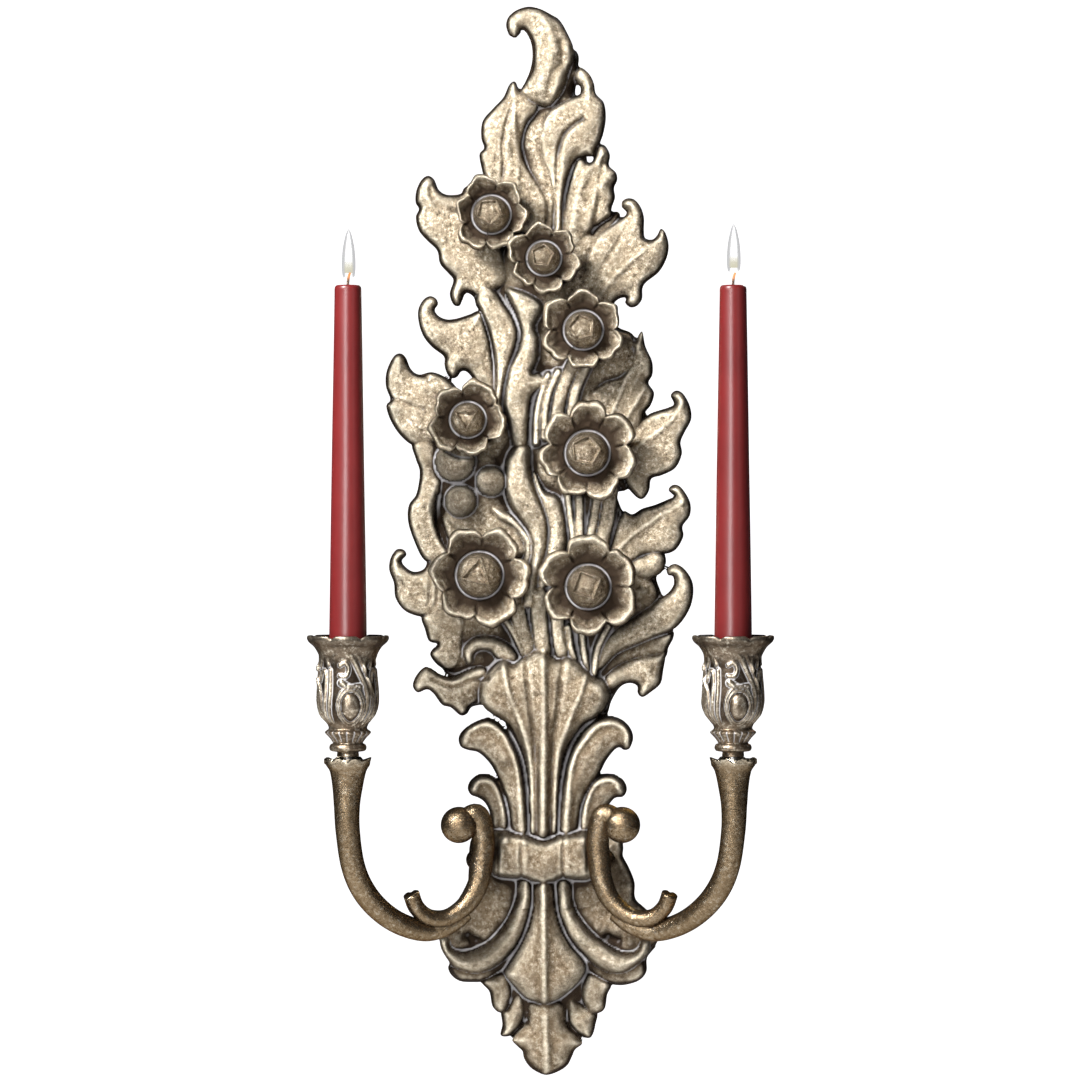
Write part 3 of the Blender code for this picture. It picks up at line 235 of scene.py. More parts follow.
        (-4.4, -428), (-5.4, -445), (-8.4, -458), (-13.4, -470), (-20.4, -482), (-21.8, -486.4),
        (-17, -492.4), (-10, -499.6), (-4, -502.6), (1, -504), (7, -501.6), (13, -497.6), (20, -491),
        (24.4, -484), (23, -478), (16, -469.6), (10.4, -459), (7, -446), (5.6, -428),
    ]),
    "roll_left": (27, 5.5, (0, 0), [
        (-6.6, -428), (-6, -440), (-8.4, -452), (-12.4, -463), (-18.6, -472.4), (-27, -480.4),
        (-37, -485), (-46.4, -484.6), (-54.6, -480.6), (-60.6, -473), (-62, -466), (-57.6, -464.6),
        (-55.6, -470.6), (-50, -473.4), (-42, -472.6), (-33, -467.6), (-26, -460.6), (-20, -451.6),
        (-15.6, -440), (-14.6, -428),
    ]),
    "roll_right": (27, 5.5, (0, 0), [
        (7.4, -428), (8.4, -445), (12.4, -458), (19.4, -469), (28.4, -478.4), (38, -484.4),
        (47.4, -485.4), (55.6, -481), (62, -474.4), (64, -467), (60, -466), (57, -472), (50.6, -474),
        (42.4, -471.6), (33, -465), (24.4, -456), (18, -445), (15.6, -428),
    ]),
    "panel_left": (17, 4, (0, 0), [
        (-16, -420), (-14, -440), (-20, -456), (-30, -468), (-44, -474), (-58, -474), (-63, -464),
        (-62, -455), (-52, -447), (-46, -438), (-45, -425), (-43, -405), (-30, -402),
    ]),
    "panel_right": (17, 4, (0, 0), [
        (16, -420), (14, -440), (20, -456), (30, -468), (44, -476), (60, -476), (68, -470), (70, -462),
        (64, -450), (56, -442), (55.4, -432), (52, -423), (48.4, -416), (48.6, -410.4), (46, -404),
        (30, -400),
    ]),
    "rim_left": (17, 4.5, (0, 0), [
        (-57, -474), (-56.4, -480), (-57.4, -484), (-55, -488.6), (-50, -491.8), (-43, -492.4),
        (-36, -492), (-29, -489), (-20, -482), (-14, -470), (-30, -474),
    ]),
    "rim_right": (17, 4.5, (0, 0), [
        (68, -470), (63, -477.6), (62.6, -486), (58, -491.4), (50, -494), (43, -494), (36, -492),
        (28, -487), (20, -478), (16, -468), (34, -474), (50, -478),
    ]),
    "scale_left_a": (18, 5, (0, 0), [
        (-37, -491), (-32.4, -498), (-30.6, -506.6), (-26.4, -510.6), (-22, -508.6), (-18.6, -500),
        (-18, -490), (-24, -484),
    ]),
    "scale_left_b": (16, 5, (0, 0), [
        (-25.4, -510), (-24.6, -518), (-25.6, -524.6), (-20, -525), (-14, -520.6), (-10, -512),
        (-9.6, -502), (-15, -494), (-19, -500), (-22, -507),
    ]),
    "scale_right_a": (18, 5, (0, 0), [
        (41, -492), (38.8, -500), (37.2, -508.4), (32, -511.4), (27, -510), (22.6, -501.6), (23, -492),
        (28, -485),
    ]),
    "scale_right_b": (16, 5, (0, 0), [
        (32.4, -510), (31.8, -518), (30, -524.4), (27, -526.4), (20, -523.6), (14.6, -517), (13, -508),
        (15, -500), (22, -503),
    ]),
    "bud": (21, 8, (0, 0.02), [
        (-9, -504), (-9, -515), (-15, -522), (-18.6, -526.6), (-15.4, -530.6), (-12.4, -533.6),
        (-11.4, -538), (-8, -543), (-3, -546.4), (2, -547.8), (8, -546.4), (14.4, -542.4), (17.4, -537),
        (19.4, -532.6), (23.8, -528.6), (20, -524), (14, -517), (12, -504), (0, -498),
    ]),
}

# (height, outline) of the plain ground between the leaves
GROUND = [
    (12, [
        (2, 42), (-10, 30), (-15, 15), (-12, 0), (-14, -30), (-28, -56), (-30, -75), (-26, -90),
        (-30, -150), (-62, -168), (-66, -200), (-60, -240), (-58, -262), (-62, -290), (-58, -306),
        (-30, -312), (0, -330), (30, -310), (36, -300), (60, -278), (76, -270), (72, -258), (69, -250),
        (66, -240), (45, -200), (52, -192), (50, -160), (38, -135), (48, -130), (57, -121), (58, -108),
        (54, -100), (44, -95), (34, -82), (34, -60), (42, -44), (47, -30), (44, -26), (38, -30),
        (26, -34), (18, -10), (20, 2), (16, 20), (12, 38),
    ]),
    (12, [
        (0, -300), (-34, -314), (-31, -326), (-22, -338), (-24, -370), (-28, -395), (-42, -405),
        (-45, -430), (-58, -455), (-60, -470), (-45, -484), (-30, -488), (-22, -505), (-12, -518),
        (0, -528), (12, -520), (26, -505), (34, -490), (55, -484), (64, -470), (60, -450), (48, -430),
        (45, -405), (30, -395), (26, -372), (23, -346), (33, -332), (37, -314),
    ]),
]

# (height, radius, points) of round stems
STEMS = [
    (21, 1.8, [(3, -126), (-1, -138), (-3.6, -150), (-4, -166)]),
    (21, 2.0, [(9, -124), (3.4, -137), (1, -150), (1, -163)]),
    (20, 4.2, [(18, -120), (12, -133), (9, -146), (8, -160)]),
    (19, 3.2, [(26, -120), (19.6, -135), (17, -150)]),
    (19, 1.8, [(15, -198), (16.6, -213), (19, -228)]),
    (18, 2.6, [(21.6, -200), (22, -214), (22, -228)]),
    (18, 2.8, [(33, -198), (30.6, -213), (28, -226)]),
    (19, 4.4, [(41, -195), (38.6, -212), (35, -228)]),
    (22, 5.0, [(-17, -258), (-14, -274), (-9, -288), (-6, -300)]),
    (24, 5.0, [(-3, -258), (-2, -276), (1, -300)]),
    (22, 4.2, [(8, -258), (9, -278), (12, -300)]),
    (20, 1.8, [(15, -278), (17, -291), (21, -304)]),
    (20, 1.8, [(23, -278), (24.4, -291), (27, -306)]),
    (20, 1.8, [(39, -277), (33, -290), (30.6, -306)]),
    (20, 1.6, [(-24, -271), (-17, -282), (-11, -296)]),
]

# (height added, half width, points): ridges are positive and grooves negative
STROKES = [
    (-3.0, 1.7, [(7, -36), (8.2, -19), (8.9, -2.5), (9.3, 9.1), (13.6, 20.7), (23.8, 28.7)]),
    (-1.6, 2.4, [(11, -40), (12.9, -19), (15.1, -9), (16.5, 1.8), (20.2, 9)]),
    (1.8, 3.0, [(35.5, 8), (25.3, -5.4), (20.9, -19), (18, -36)]),
    (1.6, 2.6, [(42, -3), (34, -12.7), (30, -22), (27, -36)]),
    (-2.0, 2.4, [(11, 75), (12, 64), (7, 56), (4.5, 49), (3, 42)]),
    (1.4, 3.0, [(-3, 92), (4, 82), (5, 68), (0, 56), (-3, 46)]),
    (-1.5, 3.2, [(-20, 40), (-15, 28), (-16, 12), (-14, -6)]),
    (-1.6, 1.6, [(-68.5, -13), (-66, -20), (-60, -24.5), (-52, -27)]),
    (-1.6, 1.2, [(-93, -139), (-82, -143), (-72, -146)]),
    (3.2, 2.6, [(0, -292), (0.5, -330), (0, -370), (0, -404)]),
    (-1.8, 1.6, [(-11, -297), (-8, -325), (-5, -350), (-4, -400)]),
    (-1.8, 1.8, [(12, -297), (9, -325), (6, -350), (4.5, -400)]),
    (2.0, 2.0, [(-24, -300), (-20, -318), (-13, -336), (-8.5, -356), (-6.5, -400)]),
    (2.0, 2.0, [(26, -306), (21, -320), (14, -338), (9, -358), (7, -400)]),
    (3.0, 2.4, [(-47, -345), (-44, -339), (-36, -335.4), (-28, -337.6), (-21, -346), (-15, -362),
                (-12, -404)]),
    (3.0, 2.4, [(51, -348), (50, -340), (42, -334.6), (32, -337), (25, -345), (17, -360), (13, -404)]),
    (3.0, 2.2, [(-42, -375), (-38, -369.6), (-31, -370.4), (-26.6, -377), (-23.4, -390), (-22.6, -404)]),
    (3.0, 2.2, [(47, -376), (43, -370), (35, -369.6), (29, -375), (25, -388), (23.6, -404)]),
    (-1.8, 1.4, [(-67, -309), (-55, -313), (-44, -309.4), (-33, -308)]),
    (2.6, 2.4, [(0, -430), (0.6, -460), (1, -502)]),
    (2.4, 2.6, [(1, -512), (2, -530), (2, -546)]),
    (1.6, 1.6, [(38, -156), (46, -138), (52, -122), (58, -106)]),
    (1.4, 1.6, [(44, -160), (54, -146), (62, -132)]),
    (1.4, 1.6, [(46, -178), (60, -166), (76, -154), (84, -142)]),
    (1.4, 1.8, [(42, -234), (54, -222), (68, -212), (84, -202)]),
    (1.4, 1.8, [(28, -88), (40, -70), (54, -56), (70, -44)]),
    (-1.2, 1.3, [(26, -80), (36, -60), (46, -44), (54, -28)]),
    (-1.6, 1.2, [(-27, -402), (-27, -426)]),
    (-2.0, 1.2, [(-13, -401), (-13, -428)]),
    (-2.0, 1.2, [(12, -401), (12, -428)]),
    (-1.6, 1.2, [(26.5, -401), (26.5, -426)]),
    (-2.0, 1.3, [(-30, -26), (-24, -5), (-24, 15), (-20, 34)]),
    (1.4, 2.0, [(-17, -30), (-15, 0), (-17, 24), (-18, 44)]),
    (-3.0, 1.8, [(-63, -199), (-61.6, -214), (-57, -227)]),
    (1.8, 2.0, [(-64, -190), (-68.5, -206), (-65, -222), (-60, -232)]),
    (-1.5, 1.0, [(-68.5, -238), (-68, -250), (-68.5, -263)]),
    (-1.2, 0.8, [(-64.5, -240), (-64, -252), (-64.5, -265)]),
    (-1.6, 1.6, [(-90, -104), (-84, -116), (-76, -124), (-68, -128)]),
    (-5.0, 3.6, [(-45, -464), (-41, -467)]),
    (-5.0, 3.6, [(40, -465), (45, -467)]),
    (-1.4, 1.4, [(30, -40), (33, -24), (34, -8), (37, 6)]),
]

# (x, z, radius, height of the centre)
BERRIES = [
    (-53, -178, 12, 19), (-31.4, -189.6, 9, 18), (-49.6, -201.6, 9.6, 18),
    (-51.3, -464.5, 4, 14), (52.6, -467, 4, 14),
]

# name: (x, z, dome radius, petal radius, seat height, petals, first petal angle, dome facets)
FLOWERS = {
    "flower_top_left": (-31, -30, 11.8, 23, 23, 6, 20, 5),
    "flower_top_centre": (0.5, -56.5, 10.5, 22.5, 27, 6, 10, 5),
    "flower_upper_right": (24, -99.5, 12, 26, 28, 6, 0, 5),
    "flower_middle_left": (-45, -153, 11, 23.5, 24, 5, 30, 3),
    "flower_middle_right": (26.5, -173, 13.6, 31, 28, 7, 12, 5),
    "flower_lower_left": (-38, -246, 14.4, 31, 27, 6, 25, 3),
    "flower_lower_right": (27, -253, 13.6, 30.5, 28, 6, 0, 4),
}

# (x, depth, z, half width across the band, half thickness) along the left scroll
SCROLL = [
    (-49.9, 48, -394, 6.5, 6.5), (-39.6, 46, -388.3, 6.8, 6.5), (-35.7, 44, -400.3, 6.8, 7.0),
    (-36.1, 43, -413.3, 6.8, 7.5), (-38.2, 44, -428.1, 6.4, 7.5), (-44.5, 46, -440.2, 5.8, 7.0),
    (-55.8, 50, -448.4, 5.2, 6.5), (-67.0, 55, -448.2, 5.0, 6.0), (-74.4, 59, -442.0, 4.9, 5.6),
    (-77.6, 62, -433.6, 4.9, 5.2),
]
SCROLL_BALL = (-49.9, 48, -394, 10.8)

# (x, depth, z, radius) along the left arm, from inside the scroll to the cup
ARM = [
    (-46.0, 44, -446.0, 5.6), (-56.0, 47, -453.0, 6.2), (-69.1, 51, -456.3, 6.4),
    (-83.5, 61, -451.4, 6.6), (-95.7, 72, -441.8, 6.8), (-105.0, 81, -429.1, 7.0),
    (-110.6, 88, -413.9, 7.0), (-113.2, 93, -394, 7.1), (-113.6, 95, -379, 7.6),
    (-113.2, 95, -367, 9.0), (-113.0, 95, -359, 10.6), (-113.0, 95, -354, 12.8),
    (-113.0, 95, -351.6, 12.9),
]
ROOT = [(-39.8, 17.5, -417.5, 6.6), (-39.6, 24, -417.5, 5.6), (-38, 34, -417, 5.4), (-36.5, 43, -416, 5.4)]

# (radius, z) of the cup from the foot up to the lip and down to the socket
CUP_OUTSIDE = [
    (2.8, -350.2), (6.1, -350.2), (6.4, -349.6), (6.3, -347.6), (7.6, -347.4), (10.0, -346.9),
    (10.8, -345.2), (10.2, -343.4), (8.9, -342.7), (8.8, -342.0), (10.4, -339.6), (13.0, -336.8),
    (13.0, -335.8), (11.4, -334.4), (11.3, -333.0), (13.4, -329.6), (16.2, -325.6), (17.6, -320.6),
    (17.9, -315.7), (17.4, -308.0), (16.8, -301.0), (16.6, -295.0), (17.2, -291.0), (19.2, -287.0),
    (22.0, -284.2), (23.0, -282.2), (22.8, -280.6), (22.0, -280.2),
]
CUP_INSIDE = [(20.6, -280.6), (17.6, -286.4), (15.9, -294.4), (12.5, -297.4), (12.4, -307.0),
              (2.8, -307.2), (2.8, -350.2)]


# ----------------------------------------------------------------- fields

def closed_curve(points, steps=6):
    """Smooth closed curve through the points."""
    p = np.array(points, float)
    t = np.linspace(0, 1, steps, endpoint=False)[:, None]
    spans = []
    for i in range(len(p)):
        spans.append(cubic(p[i - 1], p[i], p[(i + 1) % len(p)], p[(i + 2) % len(p)], t))
    return np.concatenate(spans)


def open_curve(points, steps=8):
    """Smooth open curve through rows of any width."""
    p = np.array(points, float)
    t = np.linspace(0, 1, steps, endpoint=False)[:, None]
    last = len(p) - 1
    spans = []
    for i in range(last):
        spans.append(cubic(p[max(i - 1, 0)], p[i], p[i + 1], p[min(i + 2, last)], t))
    return np.concatenate(spans + [p[-1:]])


def cubic(a, b, c, d, t):
    return 0.5 * (2 * b + (c - a) * t + (2 * a - 5 * b + 4 * c - d) * t ** 2
                  + (3 * b - a - 3 * c + d) * t ** 3)


def distance_to(line, x, z, closed):
    """Distance to a polyline; for a closed one, positive inside and negative outside."""
    nearest = np.full(x.shape, 1e9)
    inside = np.zeros(x.shape, bool)
    ends = np.roll(line, -1, 0) if closed else line[1:]
    for (ax, az), (bx, bz) in zip(line, ends):
        ex, ez = bx - ax, bz - az
        length = max(ex * ex + ez * ez, 1e-9)
        t = np.clip(((x - ax) * ex + (z - az) * ez) / length, 0, 1)
        nearest = np.minimum(nearest, (x - ax - t * ex) ** 2 + (z - az - t * ez) ** 2)
        if closed and az != bz:
            inside ^= ((az > z) != (bz > z)) & (x < ex * (z - az) / ez + ax)
    return np.where(inside, 1, -1) * np.sqrt(nearest) if closed else np.sqrt(nearest)


def window(line, x, z, margin):
    low, high = line.min(0) - margin, line.max(0) + margin
    columns = np.where((x[0] >= low[0]) & (x[0] <= high[0]))[0]
    rows = np.where((z[:, 0] >= low[1]) & (z[:, 0] <= high[1]))[0]
    return slice(rows[0], rows[-1] + 1), slice(columns[0], columns[-1] + 1)


def soft_noise(x, z, size, seed):
    """Smooth random field in -1..1 with features of the given size."""
    grid = np.random.default_rng(seed).uniform(-1, 1, (64, 64))
    u, v = x / size + 31.7, z / size + 200.3
    i, j = np.floor(u).astype(int), np.floor(v).astype(int)
    s, t = u - i, v - j
    s, t = s * s * (3 - 2 * s), t * t * (3 - 2 * t)
    i, j = i % 63, j % 63
    return ((grid[i, j] * (1 - s) + grid[i + 1, j] * s) * (1 - t)
            + (grid[i, j + 1] * (1 - s) + grid[i + 1, j + 1] * s) * t)


def blurred(field, weight, sigma):
    """Gaussian blur that ignores what lies outside the weight."""
    reach = int(3 * sigma) + 1
    kernel = np.exp(-0.5 * (np.arange(-reach, reach + 1) / sigma) ** 2)
    total, share = field * weight, weight.astype(float)
    for axis in (0, 1):
        total = np.apply_along_axis(np.convolve, axis, total, kernel, "same")
        share = np.apply_along_axis(np.convolve, axis, share, kernel, "same")
    return total / np.maximum(share, 1e-6)


def moulded(distance, crown, edge):
    """Pillow edge inside an outline and a steep wall outside it."""
    top = crown + 1.0 - 5.0 * (1 - np.clip(distance / edge, 0, 1)) ** 2.4
    top = top - 5.0 * (1 - np.clip(distance / (3.4 * edge), 0, 1)) ** 2
    return np.where(distance > 0, top, crown - WALL_DROP + WALL_SLOPE * distance)


def relief(x, z):
    """Front height above the wall and distance inside the silhouette."""
    height = np.full(x.shape, 0.0)
    inside = np.full(x.shape, -1e3)

    def add(area, top, distance):
        height[area] = np.maximum(height[area], top)
        inside[area] = np.maximum(inside[area], distance)

    for level, outline in GROUND:
        curve = closed_curve(outline)
        area = window(curve, x, z, 6)
        d = distance_to(curve, x[area], z[area], True)
        add(area, moulded(d, level, 4.0), d)
    for level, edge, slope, outline in RELIEF.values():
        curve = closed_curve(outline)
        area = window(curve, x, z, 6)
        px, pz = x[area], z[area]
        centre = curve.mean(0)
        d = distance_to(curve, px, pz, True)
        crown = level + slope[0] * (px - centre[0]) + slope[1] * (pz - centre[1])
        crown = crown - 0.8 * np.clip((d - edge) / 8, 0, 1) ** 1.5
        add(area, moulded(d, crown, edge), d)
    for level, radius, points in STEMS:
        curve = open_curve(points)
        area = window(curve, x, z, radius + 4)
        d = radius - distance_to(curve, x[area], z[area], False)
        round_top = level - radius + np.sqrt(np.maximum(radius ** 2 - (radius - d) ** 2, 0))
        add(area, np.where(d > 0, round_top, level - radius + WALL_SLOPE * d), d)
    for bx, bz, radius, level in BERRIES:
        r = np.hypot(x - bx, z - bz)
        dome = level + 0.9 * np.sqrt(np.maximum(radius ** 2 - r ** 2, 0))
        height = np.where(r < radius, np.maximum(height, dome), height)
        inside = np.maximum(inside, radius - r)
    for amount, half_width, points in STROKES:
        curve = open_curve(points)
        area = window(curve, x, z, 3 * half_width)
        d = distance_to(curve, x[area], z[area], False)
        height[area] += amount * np.exp(-(d / half_width) ** 2)
    sway = (1.3 * soft_noise(x, z, 14.0, 3) + 0.6 * soft_noise(x, z, 6.0, 5)
            + 0.22 * soft_noise(x, z, 2.6, 7))
    height = height + sway * np.clip(inside / 3, 0, 1)
    for fx, fz, _, petal, seat, *_ in FLOWERS.values():
        r = np.hypot(x - fx, z - fz)
        height = np.where(r < petal, np.minimum(height, seat - 2), height)
        height = np.where(r < 0.6 * petal, seat, height)
    return height, inside


# ------------------------------------------------------------ mesh helpers

def store_wash_and_painted_light(mesh, crevice, painted_shade, crest):
    """Keep how deep, how sunken and how proud each point is: wash in the crevices, painted shade in the hollows,
    wear and painted highlight on the proud points.
    """
    data = np.ones((len(mesh.vertices), 4))
    data[:, 0], data[:, 1], data[:, 2] = crevice, painted_shade, crest
    layer = mesh.attributes.new("wash_and_painted_light", "FLOAT_COLOR", "POINT")
    layer.data.foreach_set("color", data.ravel())


def make_object(name, verts, faces, mat, body, node=(), slot=None):
    mesh = bpy.data.meshes.new(name)
    mesh.from_pydata(np.asarray(verts) * MM, [], faces)
    mesh.shade_smooth()
    mesh.materials.append(mat)
    obj = bpy.data.objects.new(name, mesh)
    bpy.context.scene.collection.objects.link(obj)
    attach(obj, body)
    if node:
        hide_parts(*node)
    return obj


def wash_and_painted_light_of(height, weight, cell):
    """Crevice (wash), hollow (painted shade) and crest (wear and painted highlight) shares of a height field with
    the given cell size.
    """
    fine = height - blurred(height, weight, 1.3 / cell)
    broad = height - blurred(height, weight, 5.0 / cell)
    return np.clip(-fine / 1.5, 0, 1), np.clip(-broad / 4.0, 0, 1), np.clip(fine / 0.9, 0, 1)


def grid_faces(rows, columns, closed, start=0):
    """Quads of a rows by columns grid, wrapped round when closed."""
    span = columns if closed else columns - 1
    r, c = np.meshgrid(np.arange(rows - 1), np.arange(span), indexing="ij")
    n = (c + 1) % columns
    quads = np.stack([r * columns + c, r * columns + n, (r + 1) * columns + n, (r + 1) * columns + c], -1)
    return (quads.reshape(-1, 4) + start).tolist()


# --------------------------------------------------------------- backplate

def make_backplate(mat):
    xs = np.arange(GRID_X[0], GRID_X[1], STEP)
    zs = np.arange(GRID_Z[0], GRID_Z[1], STEP)
    x, z = np.meshgrid(xs, zs)
    height, inside = relief(x, z)
    solid = inside > 0
    touched = solid[:-1, :-1] | solid[:-1, 1:] | solid[1:, 1:] | solid[1:, :-1]
    slope_z, slope_x = np.gradient(inside, STEP)
    steep = np.maximum(slope_x ** 2 + slope_z ** 2, 0.3)
    rim = ~solid
    move = np.where(rim, np.maximum(inside, -2 * STEP) / steep, 0)
    px, pz = x - move * slope_x, z - move * slope_z
    front = np.where(rim, np.maximum(height - WALL_SLOPE * inside, 6.0), np.maximum(height, 3.0))
    front = np.where(rim, np.minimum(front, 16.0), front)
    back = np.minimum(BACK_EDGE * (1 - np.clip(inside / BACK_BEVEL, 0, 1)), front - 2.0)
    crevice, painted_shade, crest = wash_and_painted_light_of(height, solid, STEP)
    # Painted shade: the band along the silhouette edge and the steep walls between layers are darkened through
    # the hollow share; the wash is kept off the edge.
    edge = np.clip(1 - inside / 1.8, 0, 1)
    rise_z, rise_x = np.gradient(height, STEP)
    steep_wall = np.clip((np.hypot(rise_x, rise_z) - 0.9) / 1.6, 0, 1)
    crevice = crevice * (1 - edge)
    painted_shade = np.maximum(painted_shade, np.maximum(0.4 * edge, 0.5 * steep_wall))
    # The berries get a flat darkening on the same channel.
    for bx, bz, radius, _ in BERRIES:
        painted_shade = np.where(np.hypot(x - bx, z - bz) < radius, np.maximum(painted_shade, 0.4), painted_shade)
    cells = np.argwhere(touched)
    count = x.size
    corner = cells[:, 0] * len(xs) + cells[:, 1]
    quads = np.stack([corner, corner + 1, corner + 1 + len(xs), corner + len(xs)], 1)
    rear = np.where(rim.ravel()[quads], quads, quads + count)[:, ::-1]
    verts = np.concatenate([
        np.stack([px, -front, pz], -1).reshape(-1, 3), np.stack([px, -back, pz], -1).reshape(-1, 3)])
    shades = np.stack([crevice, painted_shade, crest], -1).reshape(-1, 3)
    # The back of the plate gets half of the painted shade.
    shades = np.concatenate([shades, np.tile([0.0, 0.5, 0.0], (count, 1))])
    faces = np.concatenate([quads, rear])
    used = np.unique(faces)
    number = np.zeros(2 * count, int)
    number[used] = np.arange(len(used))
    obj = make_object("backplate_relief", verts[used], number[faces].tolist(), mat, "wall_frame",
                      ["backplate"], "antique_gold")
    store_wash_and_painted_light(obj.data, *shades[used].T)
    flatten_back(obj.data)
    return obj


def flatten_back(mesh):
    """Merge the many small quads of the flat back."""
    bm = bmesh.new()
    bm.from_mesh(mesh)
    flat = [f for f in bm.faces if all(abs(v.co.y) < 1e-7 for v in f.verts)]
    edges = list({e for f in flat for e in f.edges})
    verts = list({v for f in flat for v in f.verts})
    bmesh.ops.dissolve_limit(bm, angle_limit=0.002, verts=verts, edges=edges)
    bm.to_mesh(mesh)
    bm.free()


# ----------------------------------------------------------------- flowers

def polygon_distance(x, z, radius, sides, turn):
    """Distance inside a regular polygon."""
    d = np.full(x.shape, 1e9)
    for k in range(sides):
        angle = turn + 2 * math.pi * k / sides
        d = np.minimum(d, radius * math.cos(math.pi / sides) - x * math.cos(angle) - z * math.sin(angle))
    return d


def make_flower(name, spec, mat, seed):
    fx, fz, dome, petal, seat, count, start, facets = spec
    turns, rings = ((180, 64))
    angle = np.linspace(0, 2 * math.pi, turns, endpoint=False)[None, :]
    share = np.linspace(0, 1, rings)[:, None]
    phase = (angle - math.radians(start)) * count / (2 * math.pi)
    u = 2 * (phase - np.floor(phase)) - 1
    which = np.floor(phase).astype(int) % count
    local = np.random.default_rng(seed)
    reach = 1 + local.uniform(-0.10, 0.06, count)[which]
    lift = local.uniform(-0.8, 1.2, count)[which]
    ruffle = 0.6 * np.sin(7 * angle + seed) + 0.5 * np.sin(13 * angle + 2 * seed) + 0.2 * np.sin(23 * angle)
    outer = petal * reach * (1 - 0.20 * np.abs(u) ** 2.6) + 1.0 * ruffle
    cleft = np.exp(-((1 - np.abs(u)) / 0.09) ** 2)
    r = share ** 0.9 * outer
    ring = dome * 1.1
    s = np.clip((r - ring) / np.maximum(outer - ring, 1), 0, 1)
    base = seat + 6.5
    leaf = base + (5.4 + lift + 0.7 * ruffle) * s ** 1.7 + 1.2 * s * u ** 2
    leaf = leaf + 1.9 * np.exp(-((s - 0.80) / 0.13) ** 2) - 5.0 * np.clip((s - 0.80) / 0.20, 0, 1) ** 2.2
    leaf = leaf - 3.2 * cleft * np.clip(s * 1.4, 0, 1)
    leaf = leaf - 0.7 * np.exp(-(u / 0.12) ** 2) * np.clip(s * 2, 0, 1) * np.clip((1 - s) * 3, 0, 1)
    leaf = leaf + 0.35 * soft_noise(r * np.cos(angle), r * np.sin(angle) + 40 * seed, 3.2, seed)
    x, z = r * np.cos(angle), r * np.sin(angle)
    bulge = 0.93 * dome
    ball = base - 1.5 + (dome + 1.5) * np.sqrt(np.clip(1 - (r / bulge) ** 2, 0, 1))
    d = polygon_distance(x + 0.08 * dome, z - 0.08 * dome, 0.66 * dome, facets, 0.4 * seed)
    pit = -2.0 * np.clip(d / 1.0, 0, 1) + 1.4 * np.exp(-(d / 0.7) ** 2) + 0.9 * np.clip((d - 1.6) / 3, 0, 1)
    ball = ball + np.where(r < 0.9 * dome, pit, 0)
    height = np.where(r < bulge, np.maximum(ball, base - 1.5), leaf)
    height = height - 1.8 * np.exp(-((r - bulge * 1.05) / 1.0) ** 2)
    under = [(0.985, -2.2), (0.94, -4.5), (0.8, -5.6), (0.6, -6.4)]
    rows_x, rows_z, rows_h = [x], [z], [height]
    for scale, drop in under:
        rows_x.append(x[-1:] * scale)
        rows_z.append(z[-1:] * scale)
        rows_h.append(np.maximum(height[-1:] + drop, seat + 0.3))
    rows_x.append(x[-1:] * 0.45)
    rows_z.append(z[-1:] * 0.45)
    rows_h.append(np.full((1, turns), seat + 0.3))
    vx, vz, vh = np.concatenate(rows_x), np.concatenate(rows_z), np.concatenate(rows_h)
    verts = np.stack([fx + vx, -vh, fz + vz], -1).reshape(-1, 3)
    faces = grid_faces(len(vx), turns, True)
    faces.append(list(range(len(verts) - turns, len(verts)))[::-1])
    obj = make_object(name + "_head", verts, faces, mat, "wall_frame", [name], "antique_gold")
    bm = bmesh.new()
    bm.from_mesh(obj.data)
    bmesh.ops.remove_doubles(bm, verts=bm.verts, dist=1e-7)
    bmesh.ops.recalc_face_normals(bm, faces=bm.faces)
    kept = [(v.co.x / MM - fx, v.co.z / MM - fz, -v.co.y / MM) for v in bm.verts]
    bm.to_mesh(obj.data)
    bm.free()
    kx, kz, kh = np.array(kept).T
    radius = np.hypot(kx, kz)
    crevice = np.exp(-((radius - bulge * 1.06) / 0.9) ** 2)
    wash = 0.25 * np.clip((base + 2.6 - kh) / 2.0, 0, 1) * (radius > dome)
    crevice = np.maximum(crevice, wash)
    # Painted shade deep in the petal cup and a little over the dome; the raised petal rims are lightened as wear
    # and painted highlight.
    painted_shade = 1.1 * np.clip((base + 4.0 - kh) / 6, 0, 1) * (radius > bulge) + 0.25 * (radius < bulge)
    crest = 0.75 * np.clip((kh - base - 3.2) / 2.0, 0, 1) * (radius > dome * 1.2)
    store_wash_and_painted_light(obj.data, crevice, painted_shade, crest)
    return obj


# ------------------------------------------------------------ arms and cups

def tube(stations, steps, sides, shape):
    """Bar along (x, depth, z, half width, half thickness); shape gives (across, out) per angle."""
    rows = open_curve(stations, steps)
    verts = []
    for i, (x, depth, z, half_width, half_thick) in enumerate(rows):
        ahead, behind = rows[min(i + 1, len(rows) - 1)], rows[max(i - 1, 0)]
        along = Vector((ahead[0] - behind[0], behind[1] - ahead[1], ahead[2] - behind[2])).normalized()
        side = along.cross(Vector((0, 1, 0))).normalized()
        out = side.cross(along).normalized()
        share = i / (len(rows) - 1)
        for k in range(sides):
            across, proud = shape(2 * math.pi * k / sides, share)
            verts.append(Vector((x, -depth, z)) + side * half_width * across + out * half_thick * proud)
    faces = grid_faces(len(rows), sides, True)
    faces.append(list(range(sides))[::-1])
    faces.append(list(range(len(verts) - sides, len(verts))))
    return verts, faces


